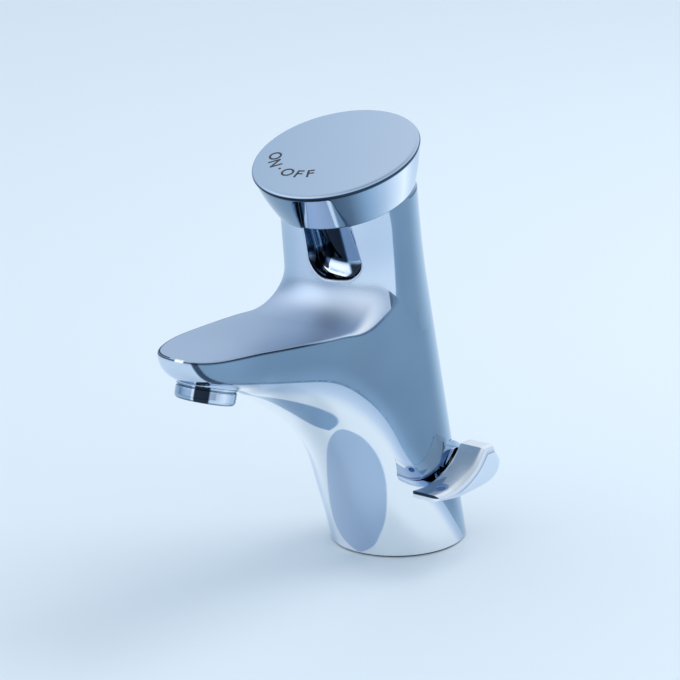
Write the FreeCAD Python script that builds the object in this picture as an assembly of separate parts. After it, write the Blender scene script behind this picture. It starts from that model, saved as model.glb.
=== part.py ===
import FreeCAD, Part
import math
import os

from FreeCAD import Matrix, Placement, Rotation, Vector

os.makedirs("parts", exist_ok=True)

# A deck-mounted basin mixer, opened by pressing its cap and closed by its own timing cartridge.
# Millimetres. The origin is the centre of the base on the basin deck, +Z is up, the spout
# points along -Y, and the temperature lever is on the +X side.

# Column
base_radius = 26.0
base_lip_height = 0.6
gasket_radius = 25.0
gasket_thickness = 2.0
gasket_inlet_radius = 7.0

# Head: the cap, the neck and the timing cartridge share one axis, tilted towards the user
head_tilt = 18.0
head_y = -32.8
head_z = 158.0
neck_radius = 24.4
shoulder_radius = 24.5
shoulder_depth = 21.9
neck_top_depth = 6.5
neck_overlap = 0.3

# Push cap
cap_top_radius = 31.4
cap_bottom_radius = 26.2
cap_height = 17.1
cap_plate_thickness = 1.4
cap_plate_edge = 0.5
cap_roof_thickness = 1.2
cap_wall = 1.2
cap_travel = 3.6
cap_gap = 0.35
hub_clearance = 0.9
spindle_seat_length = 3.0
notch_turn = 18.5
notch_top_depth = 1.9
notch_top_half_width = 7.4
notch_bottom_half_width = 9.0
hub_radius = 8.0
hub_depth = 8.0
cap_screw_radius = 2.0
cap_screw_head_radius = 3.6
cap_screw_head_height = 2.0
cap_screw_length = 12.0
cap_socket_radius = 1.3
cap_socket_depth = 1.2

# Scoop in the neck below the notch
scoop_top_depth = 17.8
scoop_left_depth = 35.4
scoop_right_depth = 38.6
scoop_floor_radius = 20.5
scoop_left_corner = 8.0
scoop_right_corner = 3.5
scoop_bottom_half_width = 9.9
scoop_drift = 1.2

# Spout
spout_tip_y = -125.0
spout_top_z = 101.0
spout_top_slope = 0.06
spout_datum_y = -80.0
spout_tip_half_width = 19.0
spout_tip_rounding = 7.5
spout_flare = 0.12
spout_side_half_width = 24.9
saddle_sink = 0.8
saddle_radius = 15.0
saddle_column_radius = 24.4
saddle_column_height = 50.0
saddle_y = -25.0

# Lower outline of the spout and the arch under it, from the tip back into the column
underside = ((-124.6, 102.0), (-123.6, 97.8), (-120.4, 94.2), (-114.0, 91.4), (-107.0, 89.0), (-98.0, 85.6),
             (-86.0, 79.5), (-74.0, 72.0), (-62.0, 63.2), (-51.5, 53.0), (-41.6, 39.5), (-34.5, 22.0),
             (-28.4, 8.0), (-24.6, 0.6))
# The sections of the spout and arch turn about this line, from upright at the tip to level at the base
fan_y = -104.0
fan_z = 2.0
fan_inset = 0.35
section_points = 13
section_fullness = 2.5

# Aerator, tilted outwards
aerator_y = -110.2
aerator_z = 84.2
aerator_tilt = 18.0
aerator_radius = 11.0
aerator_height = 6.0
aerator_thread_radius = 9.4
aerator_thread_length = 5.0
aerator_wall = 1.3
aerator_recess = 1.2
aerator_gasket_thickness = 1.2
aerator_edge = 0.6
aerator_seat = 1.2
aerator_flat_depth = 0.4
aerator_flat_margin = 1.2
aerator_neck_shortening = 1.5
aerator_boss_step = 0.2
aerator_boss_height = 4.0
insert_wall = 0.8
insert_plate_recess = 0.4
insert_plate_thickness = 1.0
insert_hole_radius = 0.8
insert_hole_pitch = 2.2
insert_hole_margin = 1.8

# Waterways
channel_radius = 6.0
riser_radius = 3.5
riser_x = 11.0
riser_wall = 2.0
riser_start = 6.0
port_radius = 2.5
port_y = -2.0
drilling_length = 14.0
channel_rear_y = -13.0
channel_rear_z = 86.0
hollow_radius = 20.0
hollow_low_z = 45.0
hollow_high_z = 77.0

# Timing cartridge
cartridge_radius = 15.0
cartridge_bore_radius = 12.0
cartridge_top_depth = hub_depth + cap_travel + hub_clearance
cartridge_length = 34.0
cartridge_roof = 6.0
cartridge_floor = 2.0
cartridge_nut_radius = 17.0
cartridge_nut_height = 5.0
cartridge_nut_bore = 9.5
nut_slot_half_width = 1.5
nut_slot_depth = 2.0
drain_radius = 1.8
drain_circle_radius = 9.0
drain_count = 6
seat_fit = 0.05
free_fit = 0.3
o_ring_thickness = 1.4
o_ring_depths = (22.0, 41.0)
spindle_radius = 4.0
running_fit = 0.06
spindle_end_depth = 28.5
bush_radius = 6.5
bush_length = 4.0
piston_height = 6.0
piston_depth = 22.5
piston_groove_depth = 1.4
piston_groove_top = 2.1
piston_groove_height = 1.8
bleed_radius = 0.5
bleed_x = 8.0
spring_radius = 8.0
spring_wire = 1.2
spring_turns = 4
spring_low_gap = 0.3
spring_high_gap = 0.2

# Temperature mixing valve, across the column
mixer_y = 2.0
mixer_z = 32.5
mixer_radius = 9.0
mixer_bore_radius = 7.0
mixer_inner_x = 4.0
mixer_outer_x = 20.0
gland_radius = 7.0
gland_outer_x = 26.6
gland_thread_length = 3.5
mixer_spindle_radius = 3.5
mixer_spindle_inner_x = 8.0
drum_radius = 6.6
drum_inner_x = 6.0
drum_outer_x = 15.0
mixer_ring_x = 17.5
drum_port_radius = 2.0

# Temperature lever
lever_inner_x = 27.2
lever_outer_x = 40.2
lever_spindle_depth = 8.0
lever_under = ((-26.8, 28.7), (-14.0, 26.4), (0.0, 26.3), (8.6, 27.4), (12.6, 30.6), (13.6, 34.6))
lever_over = ((3.4, 41.2), (-1.6, 36.4), (-8.0, 33.0), (-14.0, 31.3), (-20.0, 30.7), (-26.8, 31.4))
lever_heel = (9.4, 41.0)
index_x = 33.9
index_y = -17.9
index_radius = 1.7
index_depth = 2.2
grub_radius = 2.0
grub_length = 2.2
grub_hole_length = 9.0
grub_socket_radius = 0.9
grub_socket_depth = 1.2
index_rise = 0.15

# Inlets, and the fixing below the deck
inlet_spacing = 15.0
inlet_y = -7.0
inlet_thread_radius = 4.5
inlet_top_z = 14.0
check_valve_radius = 4.0
check_valve_length = 8.0
filter_thickness = 1.0
filter_hole_radius = 0.8
filter_circle_radius = 2.4
filter_hole_count = 6
valve_wall = 1.2
valve_shortening = 0.2
valve_seat_radius = 1.4
valve_seat_low = 1.0
valve_seat_high = 2.2
poppet_radius = 2.0
poppet_high = 3.4
poppet_half_width = 0.5
stud_y = 13.0
stud_radius = 4.0
stud_top_z = 17.0
stud_bottom_z = -44.0
deck_thickness = 16.0
horseshoe_radius = 23.0
horseshoe_slot = 13.5
horseshoe_slot_end = 3.0
horseshoe_seal_thickness = 3.0
horseshoe_plate_thickness = 2.5
nut_width = 13.0
nut_height = 6.5
nut_edge = 1.2
stud_edge = 0.8

extra = 1.0
overlap = 0.1
tolerance = 0.01
axis_x = Vector(1, 0, 0)
axis_z = Vector(0, 0, 1)
head = Placement(Vector(0, head_y, head_z), Rotation(axis_x, head_tilt))
outlet = Placement(Vector(0, aerator_y, aerator_z), Rotation(axis_x, -aerator_tilt))
across = Placement(Vector(0, mixer_y, mixer_z), Rotation(Vector(0, 1, 0), 90))


def cylinder(radius, low, high, centre=(0, 0)):
    return Part.makeCylinder(radius, high - low, Vector(centre[0], centre[1], low), axis_z)


def tube(outer, inner, low, high, centre=(0, 0)):
    return cylinder(outer, low, high, centre).cut(cylinder(inner, low - extra, high + extra, centre))


def rod(radius, start, end):
    way = end - start
    return Part.makeCylinder(radius, way.Length, start, way)


def box(low, high):
    return Part.makeBox(high[0] - low[0], high[1] - low[1], high[2] - low[2], Vector(*low))


def placed(shape, placement):
    moved = shape.copy()
    moved.Placement = placement.multiply(moved.Placement)
    return moved


def circle_points(radius, count, centre=(0, 0)):
    turns = [2 * math.pi * step / count for step in range(count)]
    return [(centre[0] + radius * math.cos(turn), centre[1] + radius * math.sin(turn)) for turn in turns]


def round_ring(inner_radius, thickness, height):
    return Part.makeTorus(inner_radius + thickness / 2, thickness / 2, Vector(0, 0, height), axis_z)


def spline(points):
    curve = Part.BSplineCurve()
    curve.interpolate(points)
    return curve.toShape()


def face(edges):
    return Part.Face(Part.Wire(Part.__sortEdges__(edges)))


def export(name, shape):
    solids = shape.Solids
    result = solids[0] if len(solids) == 1 else Part.makeCompound(solids)
    if not result.isValid():
        print("not valid:", name)
    result.exportStep("parts/" + name + ".step")
    print(name, len(solids), round(shape.Volume, 2))


def head_circle(radius, depth):
    circle = Part.makeCircle(radius, Vector(0, 0, -depth), axis_z)
    return Part.Wire([placed(circle, head)])


def spout_top(y):
    return spout_top_z - spout_top_slope * (y - spout_datum_y)


def spout_half_width(y):
    back = y - spout_tip_y
    rounded = spout_tip_half_width * math.sqrt(back / (back + spout_tip_rounding))
    return min(rounded + spout_flare * back, spout_side_half_width)


def column_centre(z):
    shoulder = head.multVec(Vector(0, 0, -shoulder_depth))
    return Vector(0, shoulder.y * z / shoulder.z, z)


def widest_point(way_y, way_z):
    # Where a line from the turning line meets the spout's top, or before that the column's middle
    centre = column_centre(spout_top_z)
    lean = centre.y / centre.z
    reach_top = (spout_top(fan_y) - fan_z) / (way_z + spout_top_slope * way_y)
    top_y = fan_y + reach_top * way_y
    if top_y < centre.y:
        return top_y, fan_z + reach_top * way_z, spout_half_width(top_y)
    reach = (lean * fan_z - fan_y) / (way_y - lean * way_z)
    share = (fan_z + reach * way_z) / spout_top_z
    half = base_radius + (spout_side_half_width - base_radius) * share
    return fan_y + reach * way_y, fan_z + reach * way_z, half - fan_inset


def spout_section(low_y, low_z):
    reach = math.hypot(low_y - fan_y, low_z - fan_z)
    way = Vector(0, (low_y - fan_y) / reach, (low_z - fan_z) / reach)
    y, z, half = widest_point(way.y, way.z)
    lowest = Vector(0, low_y, low_z)
    middle = Vector(0, y, z)
    share = min(1.0, low_z / spout_top_z)
    power = 2 / (2 + (section_fullness - 2) * share)
    points = []
    for step in range(section_points):
        turn = math.pi * step / (section_points - 1)
        across = math.copysign(abs(math.cos(turn)) ** power, math.cos(turn))
        points.append(middle + axis_x * (half * across) + (lowest - middle) * math.sin(turn) ** power)
    under = Part.BSplineCurve()
    under.interpolate(Points=points, Parameters=[step / (section_points - 1) for step in range(section_points)])
    return Part.Wire([Part.LineSegment(points[-1], points[0]).toShape(), under.toShape()])


def column():
    base = Part.Wire([Part.makeCircle(base_radius, Vector(0, 0, base_lip_height), axis_z)])
    return Part.makeLoft([base, head_circle(shoulder_radius, shoulder_depth)], True, True)


def neck():
    return placed(cylinder(neck_radius, -shoulder_depth - neck_overlap, -neck_top_depth), head)


def spout():
    form = Part.makeLoft([spout_section(y, z) for y, z in underside], True, False)
    reach = 2 * base_radius
    return form.cut(box((-reach, -reach, -reach), (reach, reach, base_lip_height)))


def saddle():
    # The full front of the neck: an upright bell with a hollow flare, sheared so that its foot
    # lies in the spout's sloping top, and cut square to the head's axis at the shoulder
    radius = saddle_column_radius
    flare = saddle_radius
    turn = flare * (1 - math.sqrt(0.5))
    foot = Vector(radius + flare, 0, 0)
    waist = Vector(radius, 0, flare)
    arc = Part.Arc(foot, Vector(radius + turn, 0, turn), waist).toShape()
    corners = [waist, Vector(radius, 0, saddle_column_height), Vector(0, 0, saddle_column_height),
               Vector(0, 0, -saddle_sink), Vector(foot.x, 0, -saddle_sink), foot]
    sides = [Part.LineSegment(a, b).toShape() for a, b in zip(corners, corners[1:])]
    bell = face([arc] + sides).revolve(Vector(0, 0, 0), axis_z, 360)
    shear = Matrix(1, 0, 0, 0,
                   0, 1, 0, saddle_y,
                   0, -spout_top_slope, 1, spout_top(saddle_y),
                   0, 0, 0, 1)
    reach = spout_side_half_width - seat_fit
    front = box((-reach, saddle_y - foot.x, spout_top_z - flare),
                (reach, saddle_y, spout_top_z + saddle_column_height + flare))
    below_shoulder = placed(cylinder(2 * foot.x, -saddle_column_height - foot.x, -shoulder_depth), head)
    return bell.transformGeometry(shear).common(front).common(below_shoulder)


def scoop():
    # Rounded slot down the neck, below the notch of the cap
    high = -scoop_top_depth
    half_high = notch_bottom_half_width
    far = 2 * shoulder_radius
    left = Vector(scoop_drift - scoop_bottom_half_width, -far, -scoop_left_depth)
    right = Vector(scoop_drift + scoop_bottom_half_width, -far, -scoop_right_depth)
    corners = [left, right, Vector(half_high, -far, high), Vector(-half_high, -far, high), left]
    slot = Part.Face(Part.makePolygon(corners)).extrude(Vector(0, far, 0))
    for corner, radius in ((left, scoop_left_corner), (right, scoop_right_corner)):
        along = [edge for edge in slot.Edges if edge.BoundBox.YLength > far - tolerance]
        near = [edge for edge in along if (edge.Vertexes[0].Point - corner).Length < tolerance
                or (edge.Vertexes[-1].Point - corner).Length < tolerance]
        slot = slot.makeFillet(radius, near)
    depth = scoop_right_depth + extra
    slot = slot.cut(cylinder(scoop_floor_radius, -depth, high + extra))
    return placed(slot, head.multiply(Placement(Vector(0, 0, 0), Rotation(axis_z, notch_turn))))


def cartridge_bore():
    bottom = cartridge_top_depth + cartridge_length
    bore = cylinder(cartridge_radius + seat_fit, -bottom, -neck_top_depth + extra)
    nut_bottom = neck_top_depth + extra + cartridge_nut_height
    wide = cylinder(cartridge_nut_radius + seat_fit, -nut_bottom, -neck_top_depth + extra)
    outlet_drilling = cylinder(channel_radius, -bottom - drilling_length, -bottom + extra)
    return placed(bore.fuse([wide, outlet_drilling]), head)


def aerator_boss():
    seat = aerator_height + seat_fit
    return placed(cylinder(aerator_radius + aerator_boss_step, seat, seat + aerator_boss_height), outlet)


def aerator_bore():
    seat = aerator_height
    thread = cylinder(aerator_thread_radius + seat_fit, seat - extra, seat + aerator_thread_length)
    spot_face = cylinder(aerator_radius + free_fit, -aerator_height, seat + seat_fit)
    return placed(thread.fuse(spot_face), outlet)


def spout_channel():
    inlet_end = outlet.multVec(Vector(0, 0, aerator_height + aerator_thread_length - extra))
    return rod(channel_radius, inlet_end, Vector(0, channel_rear_y, channel_rear_z))


def mixer_bore():
    valve = cylinder(mixer_radius + seat_fit, mixer_inner_x, gland_outer_x + extra)
    return placed(valve, across)


def inlet_points():
    return [(side * inlet_spacing / 2, inlet_y) for side in (-1, 1)]


def riser(radius):
    # From the temperature valve up to the cartridge
    cartridge_floor_point = head.multVec(Vector(riser_x, 0, -cartridge_top_depth - cartridge_length + extra))
    return rod(radius, Vector(riser_x, mixer_y, mixer_z + riser_start), cartridge_floor_point)


def column_hollow():
    # The casting is hollow between its two valves, round the riser
    room = rod(hollow_radius, column_centre(hollow_low_z), column_centre(hollow_high_z))
    return room.cut(riser(riser_radius + riser_wall))


def waterways():
    shapes = [riser(riser_radius), column_hollow()]
    for x, y in inlet_points():
        shapes.append(cylinder(inlet_thread_radius, 0, inlet_top_z, (x, y)))
        valve_top = inlet_top_z + filter_thickness + check_valve_length
        shapes.append(cylinder(check_valve_radius + seat_fit, inlet_top_z, valve_top + seat_fit, (x, y)))
        port = Vector(max(x, mixer_inner_x) + riser_radius, port_y, mixer_z)
        shapes.append(rod(port_radius, Vector(x, y, valve_top - extra), port))
    return shapes


def base_recesses():
    recess = cylinder(gasket_radius + seat_fit, 0, gasket_thickness + seat_fit)
    stud = cylinder(stud_radius + seat_fit, 0, stud_top_z + extra, (0, stud_y))
    return [recess, stud]


def tap_body():
    body = column()
    for form in (spout(), neck(), saddle(), aerator_boss()):
        body = body.fuse(form)
    hollows = [scoop(), cartridge_bore(), aerator_bore(), spout_channel(), mixer_bore()]
    for hollow in hollows + waterways() + base_recesses():
        body = body.cut(hollow)
    return body


def cap_outside_radius(depth):
    return cap_top_radius + (cap_bottom_radius - cap_top_radius) * depth / cap_height


def cap_cone(top_depth, bottom_depth, inset_top, inset_bottom):
    top = cap_outside_radius(top_depth) - inset_top
    bottom = cap_outside_radius(bottom_depth) - inset_bottom
    return Part.makeCone(bottom, top, bottom_depth - top_depth, Vector(0, 0, -bottom_depth), axis_z)


def cap_notch():
    far = 2 * cap_top_radius
    top = -notch_top_depth
    bottom = -cap_height - extra
    corners = [Vector(-notch_top_half_width, -far, top), Vector(notch_top_half_width, -far, top),
               Vector(notch_bottom_half_width, -far, bottom), Vector(-notch_bottom_half_width, -far, bottom)]
    edges = [Part.LineSegment(corners[i], corners[(i + 1) % 4]).toShape() for i in range(4)]
    slot = face(edges).extrude(Vector(0, far - neck_radius + 2 * cap_wall, 0))
    return placed(slot, Placement(Vector(0, 0, 0), Rotation(axis_z, notch_turn)))


def push_cap():
    roof_bottom = cap_plate_thickness + cap_roof_thickness
    shell = cap_cone(cap_plate_thickness, cap_height, 0, 0)
    bottom_inset = cap_bottom_radius - neck_radius - cap_gap
    hollow = cap_cone(roof_bottom, cap_height, cap_wall, bottom_inset)
    hub = cylinder(hub_radius, -hub_depth, -roof_bottom + overlap)
    shell = shell.cut([hollow, cap_notch()]).fuse(hub)
    screw_seat_depth = cap_plate_thickness + cap_screw_head_height + seat_fit
    screw_seat = cylinder(cap_screw_head_radius + seat_fit, -screw_seat_depth, 0)
    screw_hole = cylinder(cap_screw_radius + seat_fit, -hub_depth - extra, 0)
    spindle_seat = cylinder(spindle_radius + seat_fit, -hub_depth - extra, -hub_depth + spindle_seat_length)
    return placed(shell.cut([screw_seat, screw_hole, spindle_seat]), head)


def cap_plate():
    disc = cylinder(cap_top_radius, -cap_plate_thickness, 0)
    rim = [edge for edge in disc.Edges if edge.BoundBox.ZMin > -tolerance]
    return placed(disc.makeFillet(cap_plate_edge, rim), head)


def cap_screw():
    top = cap_plate_thickness + seat_fit
    socket = cylinder(cap_socket_radius, -top - cap_socket_depth, -top + extra)
    fillister = cylinder(cap_screw_head_radius, -top - cap_screw_head_height + seat_fit, -top).cut(socket)
    shank = cylinder(cap_screw_radius, -top - cap_screw_length, -top - cap_screw_head_height + overlap)
    return placed(fillister.fuse(shank), head)


def push_spindle():
    stem = cylinder(spindle_radius, -spindle_end_depth, -hub_depth + spindle_seat_length - seat_fit)
    screw_top = cap_plate_thickness + cap_screw_length + extra
    return placed(stem.cut(cylinder(cap_screw_radius + seat_fit, -screw_top, 0)), head)


def cartridge_housing():
    top = -cartridge_top_depth
    bottom = top - cartridge_length + seat_fit
    shell = cylinder(cartridge_radius, bottom, top)
    chamber = cylinder(cartridge_bore_radius, bottom + cartridge_floor, top - cartridge_roof)
    bush_seat = cylinder(bush_radius + seat_fit, top - bush_length, top + extra)
    stem_hole = cylinder(spindle_radius + free_fit, top - cartridge_roof - extra, top + extra)
    grooves = [tube(cartridge_radius + extra, cartridge_radius - o_ring_thickness,
                    -depth - o_ring_thickness / 2 - seat_fit, -depth + o_ring_thickness / 2 + seat_fit)
               for depth in o_ring_depths]
    drain = [cylinder(drain_radius, bottom - extra, bottom + cartridge_floor + extra, point)
             for point in circle_points(drain_circle_radius, drain_count)]
    return placed(shell.cut([chamber, bush_seat, stem_hole] + grooves + drain), head)


def cartridge_nut():
    bottom = -cartridge_top_depth + seat_fit
    ring = tube(cartridge_nut_radius, cartridge_nut_bore, bottom, bottom + cartridge_nut_height)
    top = bottom + cartridge_nut_height
    reach = cartridge_nut_radius + extra
    half = nut_slot_half_width
    slot = box((-reach, -half, top - nut_slot_depth), (reach, half, top + extra))
    crossing = placed(slot, Placement(Vector(0, 0, 0), Rotation(axis_z, 90)))
    return placed(ring.cut([slot, crossing]), head)


def cartridge_o_rings():
    inner = cartridge_radius - o_ring_thickness + seat_fit
    rings = [round_ring(inner, o_ring_thickness - seat_fit, -depth) for depth in o_ring_depths]
    return placed(Part.makeCompound(rings), head)


def spindle_bush():
    top = -cartridge_top_depth
    return placed(tube(bush_radius, spindle_radius + running_fit, top - bush_length + seat_fit, top), head)


def timing_piston():
    top = -piston_depth
    outer = cartridge_bore_radius - free_fit
    disc = cylinder(outer, top - piston_height, top)
    groove_top = top - piston_groove_top
    groove = tube(outer + extra, outer - piston_groove_depth, groove_top - piston_groove_height, groove_top)
    hole = cylinder(spindle_radius + seat_fit, top - piston_height - extra, top + extra)
    bleed = cylinder(bleed_radius, top - piston_height - extra, top + extra, (bleed_x, 0))
    return placed(disc.cut([groove, hole, bleed]), head)


def piston_seal():
    top = -piston_depth - piston_groove_top - seat_fit
    outer = cartridge_bore_radius - free_fit
    inner = outer - piston_groove_depth + seat_fit
    return placed(tube(outer, inner, top - piston_groove_height + 2 * seat_fit, top), head)


def tangent_arc(start, corner, end):
    # Arc from start to end, touching both legs of the corner between them
    middle = (start + end) / 2
    half_chord = (end - start).Length / 2
    rise = corner - middle
    half_turn = math.atan2(rise.Length, half_chord)
    top = middle + rise * (half_chord * math.tan(half_turn / 2) / rise.Length)
    return Part.Arc(start, top, end).toShape()


def arc_pair(start, start_way, end, end_way):
    # Two arcs that meet halfway and leave along the two given directions
    chord = end - start
    a = 2 * (start_way.dot(end_way) - 1)
    b = -2 * chord.dot(start_way + end_way)
    reach = (-b - math.sqrt(b * b - 4 * a * chord.dot(chord))) / (2 * a)
    first = start + start_way * reach
    second = end - end_way * reach
    joint = (first + second) / 2
    return [tangent_arc(start, first, joint), tangent_arc(joint, second, end)]


def helix_point(radius, pitch, turn):
    angle = 2 * math.pi * turn
    return Vector(radius * math.cos(angle), radius * math.sin(angle), pitch * turn)


def helix_way(radius, pitch, turn):
    angle = 2 * math.pi * turn
    run = 2 * math.pi * radius
    return Vector(-run * math.sin(angle), run * math.cos(angle), pitch).normalize()


def return_spring():
    # One unbroken wire between the piston and the floor of the cartridge
    low = -cartridge_top_depth - cartridge_length + cartridge_floor + spring_wire / 2 + spring_low_gap
    high = -piston_depth - piston_height - spring_wire / 2 - spring_high_gap
    pitch = (high - low) / spring_turns
    edges = []
    for quarter in range(4 * spring_turns):
        start = quarter / 4
        end = start + 1 / 4
        edges += arc_pair(helix_point(spring_radius, pitch, start), helix_way(spring_radius, pitch, start),
                          helix_point(spring_radius, pitch, end), helix_way(spring_radius, pitch, end))
    begin = helix_point(spring_radius, pitch, 0)
    section = Part.makeCircle(spring_wire / 2, begin, helix_way(spring_radius, pitch, 0))
    wire = Part.Wire(edges).makePipeShell([Part.Wire([section])], True, False)
    wire.translate(Vector(0, 0, low))
    return placed(wire, head)


def aerator_housing():
    rim = cylinder(aerator_radius, 0, aerator_height)
    lower_edge = [edge for edge in rim.Edges if edge.BoundBox.ZMax < tolerance]
    rim = rim.makeChamfer(aerator_edge, lower_edge)
    neck_top = aerator_height + aerator_thread_length - aerator_neck_shortening
    neck_ring = cylinder(aerator_thread_radius, aerator_height - overlap, neck_top)
    bore = cylinder(aerator_insert_radius() + seat_fit, -extra, neck_top + extra)
    low = aerator_flat_margin
    high = aerator_height - aerator_flat_margin
    inner = aerator_radius - aerator_flat_depth
    outer = aerator_radius + extra
    left_flat = box((-outer, -outer, low), (-inner, outer, high))
    right_flat = box((inner, -outer, low), (outer, outer, high))
    return placed(rim.fuse(neck_ring).cut([bore, left_flat, right_flat]), outlet)


def aerator_insert_radius():
    return aerator_radius - aerator_wall - aerator_seat - seat_fit


def aerator_insert():
    radius = aerator_insert_radius()
    low = aerator_recess
    high = aerator_height + aerator_thread_length - aerator_neck_shortening - overlap
    shell = tube(radius, radius - insert_wall, low, high)
    plate_low = low + insert_plate_recess
    plate_high = plate_low + insert_plate_thickness
    plate = cylinder(radius - insert_wall / 2, plate_low, plate_high)
    reach = int(radius / insert_hole_pitch)
    steps = [step * insert_hole_pitch for step in range(-reach, reach + 1)]
    points = [(x, y) for x in steps for y in steps if math.hypot(x, y) < radius - insert_hole_margin]
    holes = [cylinder(insert_hole_radius, low, plate_high + extra, point) for point in points]
    return placed(shell.fuse(plate.cut(holes)), outlet)


def aerator_gasket():
    low = aerator_height + aerator_thread_length - aerator_neck_shortening + seat_fit
    high = low + aerator_gasket_thickness
    return placed(tube(aerator_thread_radius - free_fit, channel_radius + free_fit, low, high), outlet)


def mixer_sleeve():
    return placed(tube(mixer_radius, mixer_bore_radius, mixer_inner_x + seat_fit, mixer_outer_x), across)


def mixer_gland():
    thread_end = mixer_outer_x + gland_thread_length
    thread = cylinder(mixer_radius, mixer_outer_x + seat_fit, thread_end)
    collar = cylinder(gland_radius, thread_end - overlap, gland_outer_x)
    hole = cylinder(mixer_spindle_radius + running_fit, mixer_outer_x - extra, gland_outer_x + extra)
    return placed(thread.fuse(collar).cut(hole), across)


def mixer_ring():
    thickness = mixer_bore_radius - mixer_spindle_radius - 2 * overlap
    return placed(round_ring(mixer_spindle_radius + running_fit, thickness, mixer_ring_x), across)


def mixer_drum():
    drum = tube(drum_radius, mixer_spindle_radius + seat_fit, drum_inner_x, drum_outer_x)
    port = placed(cylinder(drum_port_radius, -drum_radius - extra, drum_radius + extra),
                  Placement(Vector(0, 0, (drum_inner_x + drum_outer_x) / 2), Rotation(axis_x, 90)))
    return placed(drum.cut(port), across)


def mixer_spindle():
    outer_x = lever_inner_x + lever_spindle_depth
    return placed(cylinder(mixer_spindle_radius, mixer_spindle_inner_x, outer_x), across)


def lever_curve(points):
    return spline([Vector(lever_inner_x, y, z) for y, z in points])


def lever_blade():
    front_low = Vector(lever_inner_x, *lever_under[0])
    rear_low = Vector(lever_inner_x, *lever_under[-1])
    heel = Vector(lever_inner_x, *lever_heel)
    rear_high = Vector(lever_inner_x, *lever_over[0])
    front_high = Vector(lever_inner_x, *lever_over[-1])
    edges = [lever_curve(lever_under), Part.LineSegment(rear_low, heel).toShape(),
             Part.LineSegment(heel, rear_high).toShape(), lever_curve(lever_over),
             Part.LineSegment(front_high, front_low).toShape()]
    return face(edges).extrude(Vector(lever_outer_x - lever_inner_x, 0, 0))


def index_seat(radius, depth):
    return cylinder(radius, index_z() - depth, index_z() + extra, (index_x, index_y))


def index_z():
    before = lever_over[3]
    after = lever_over[2]
    share = (index_y - before[0]) / (after[0] - before[0])
    return before[1] + share * (after[1] - before[1])


def temperature_lever():
    socket_end = lever_inner_x + lever_spindle_depth + seat_fit
    socket = placed(cylinder(mixer_spindle_radius + seat_fit, 0, socket_end), across)
    grub_hole = cylinder(grub_radius + seat_fit, mixer_z - grub_hole_length, mixer_z - mixer_spindle_radius,
                         (lever_inner_x + lever_spindle_depth / 2, mixer_y))
    plug_seat = index_seat(index_radius + seat_fit, index_depth + seat_fit)
    return lever_blade().cut([socket, grub_hole, plug_seat])


def index_plug():
    return cylinder(index_radius, index_z() - index_depth, index_z() + index_rise, (index_x, index_y))


def lever_grub_screw():
    top = mixer_z - mixer_spindle_radius - seat_fit
    centre = (lever_inner_x + lever_spindle_depth / 2, mixer_y)
    screw = cylinder(grub_radius, top - grub_length, top, centre)
    low = top - grub_length
    return screw.cut(cylinder(grub_socket_radius, low - extra, low + grub_socket_depth, centre))


def base_gasket():
    disc = cylinder(gasket_radius, 0, gasket_thickness)
    high = gasket_thickness + extra
    holes = [cylinder(gasket_inlet_radius, -extra, high, point) for point in inlet_points()]
    holes.append(cylinder(stud_radius + free_fit, -extra, gasket_thickness + extra, (0, stud_y)))
    return disc.cut(holes)


def check_valve(point):
    low = inlet_top_z + filter_thickness + seat_fit
    seat_top = low + valve_seat_high
    poppet_top = low + poppet_high
    inner = check_valve_radius - valve_wall
    shell = tube(check_valve_radius, inner, low, low + check_valve_length - valve_shortening, point)
    seat = tube(inner + overlap, valve_seat_radius, low + valve_seat_low, seat_top, point)
    poppet = cylinder(poppet_radius, seat_top - overlap, poppet_top, point)
    reach = inner + overlap
    bridge = box((point[0] - reach, point[1] - poppet_half_width, seat_top - overlap),
                 (point[0] + reach, point[1] + poppet_half_width, poppet_top))
    return shell.fuse([seat, poppet, bridge])


def check_valves():
    return Part.makeCompound([check_valve(point) for point in inlet_points()])


def inlet_filter(point):
    low = inlet_top_z + seat_fit
    high = inlet_top_z + filter_thickness
    hole_points = [point] + circle_points(filter_circle_radius, filter_hole_count, point)
    holes = [cylinder(filter_hole_radius, low - extra, high + extra, centre) for centre in hole_points]
    return cylinder(check_valve_radius, low, high, point).cut(holes)


def inlet_filters():
    return Part.makeCompound([inlet_filter(point) for point in inlet_points()])


def horseshoe(low, high):
    disc = cylinder(horseshoe_radius, low, high)
    slot = box((-horseshoe_slot, -horseshoe_radius - extra, low - extra),
               (horseshoe_slot, horseshoe_slot_end - horseshoe_slot / 2, high + extra))
    slot_end = box((-horseshoe_slot, -horseshoe_slot, low - extra),
                   (horseshoe_slot, horseshoe_slot_end, high + extra))
    upright = [edge for edge in slot_end.Edges if edge.BoundBox.ZLength > high - low]
    corners = [edge for edge in upright if edge.BoundBox.YMin > 0]
    slot_end = slot_end.makeFillet(horseshoe_slot / 2, corners)
    stud_hole = cylinder(stud_radius + free_fit, low - extra, high + extra, (0, stud_y))
    return disc.cut([slot, slot_end, stud_hole])


def horseshoe_seal():
    return horseshoe(-deck_thickness - horseshoe_seal_thickness, -deck_thickness)


def horseshoe_plate():
    top = -deck_thickness - horseshoe_seal_thickness
    return horseshoe(top - horseshoe_plate_thickness, top)


def fixing_nut():
    top = -deck_thickness - horseshoe_seal_thickness - horseshoe_plate_thickness
    low = top - nut_height
    corner = nut_width / math.sqrt(3)
    points = [Vector(x, y, low) for x, y in circle_points(corner, 6, (0, stud_y))]
    prism = Part.Face(Part.makePolygon(points + points[:1])).extrude(Vector(0, 0, nut_height))
    small = corner - nut_edge
    chamfer = Part.makeCone(small, small + nut_height, nut_height, Vector(0, stud_y, low), axis_z)
    hole = cylinder(stud_radius + seat_fit, low - extra, top + extra, (0, stud_y))
    return prism.common(chamfer).cut(hole)


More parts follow.
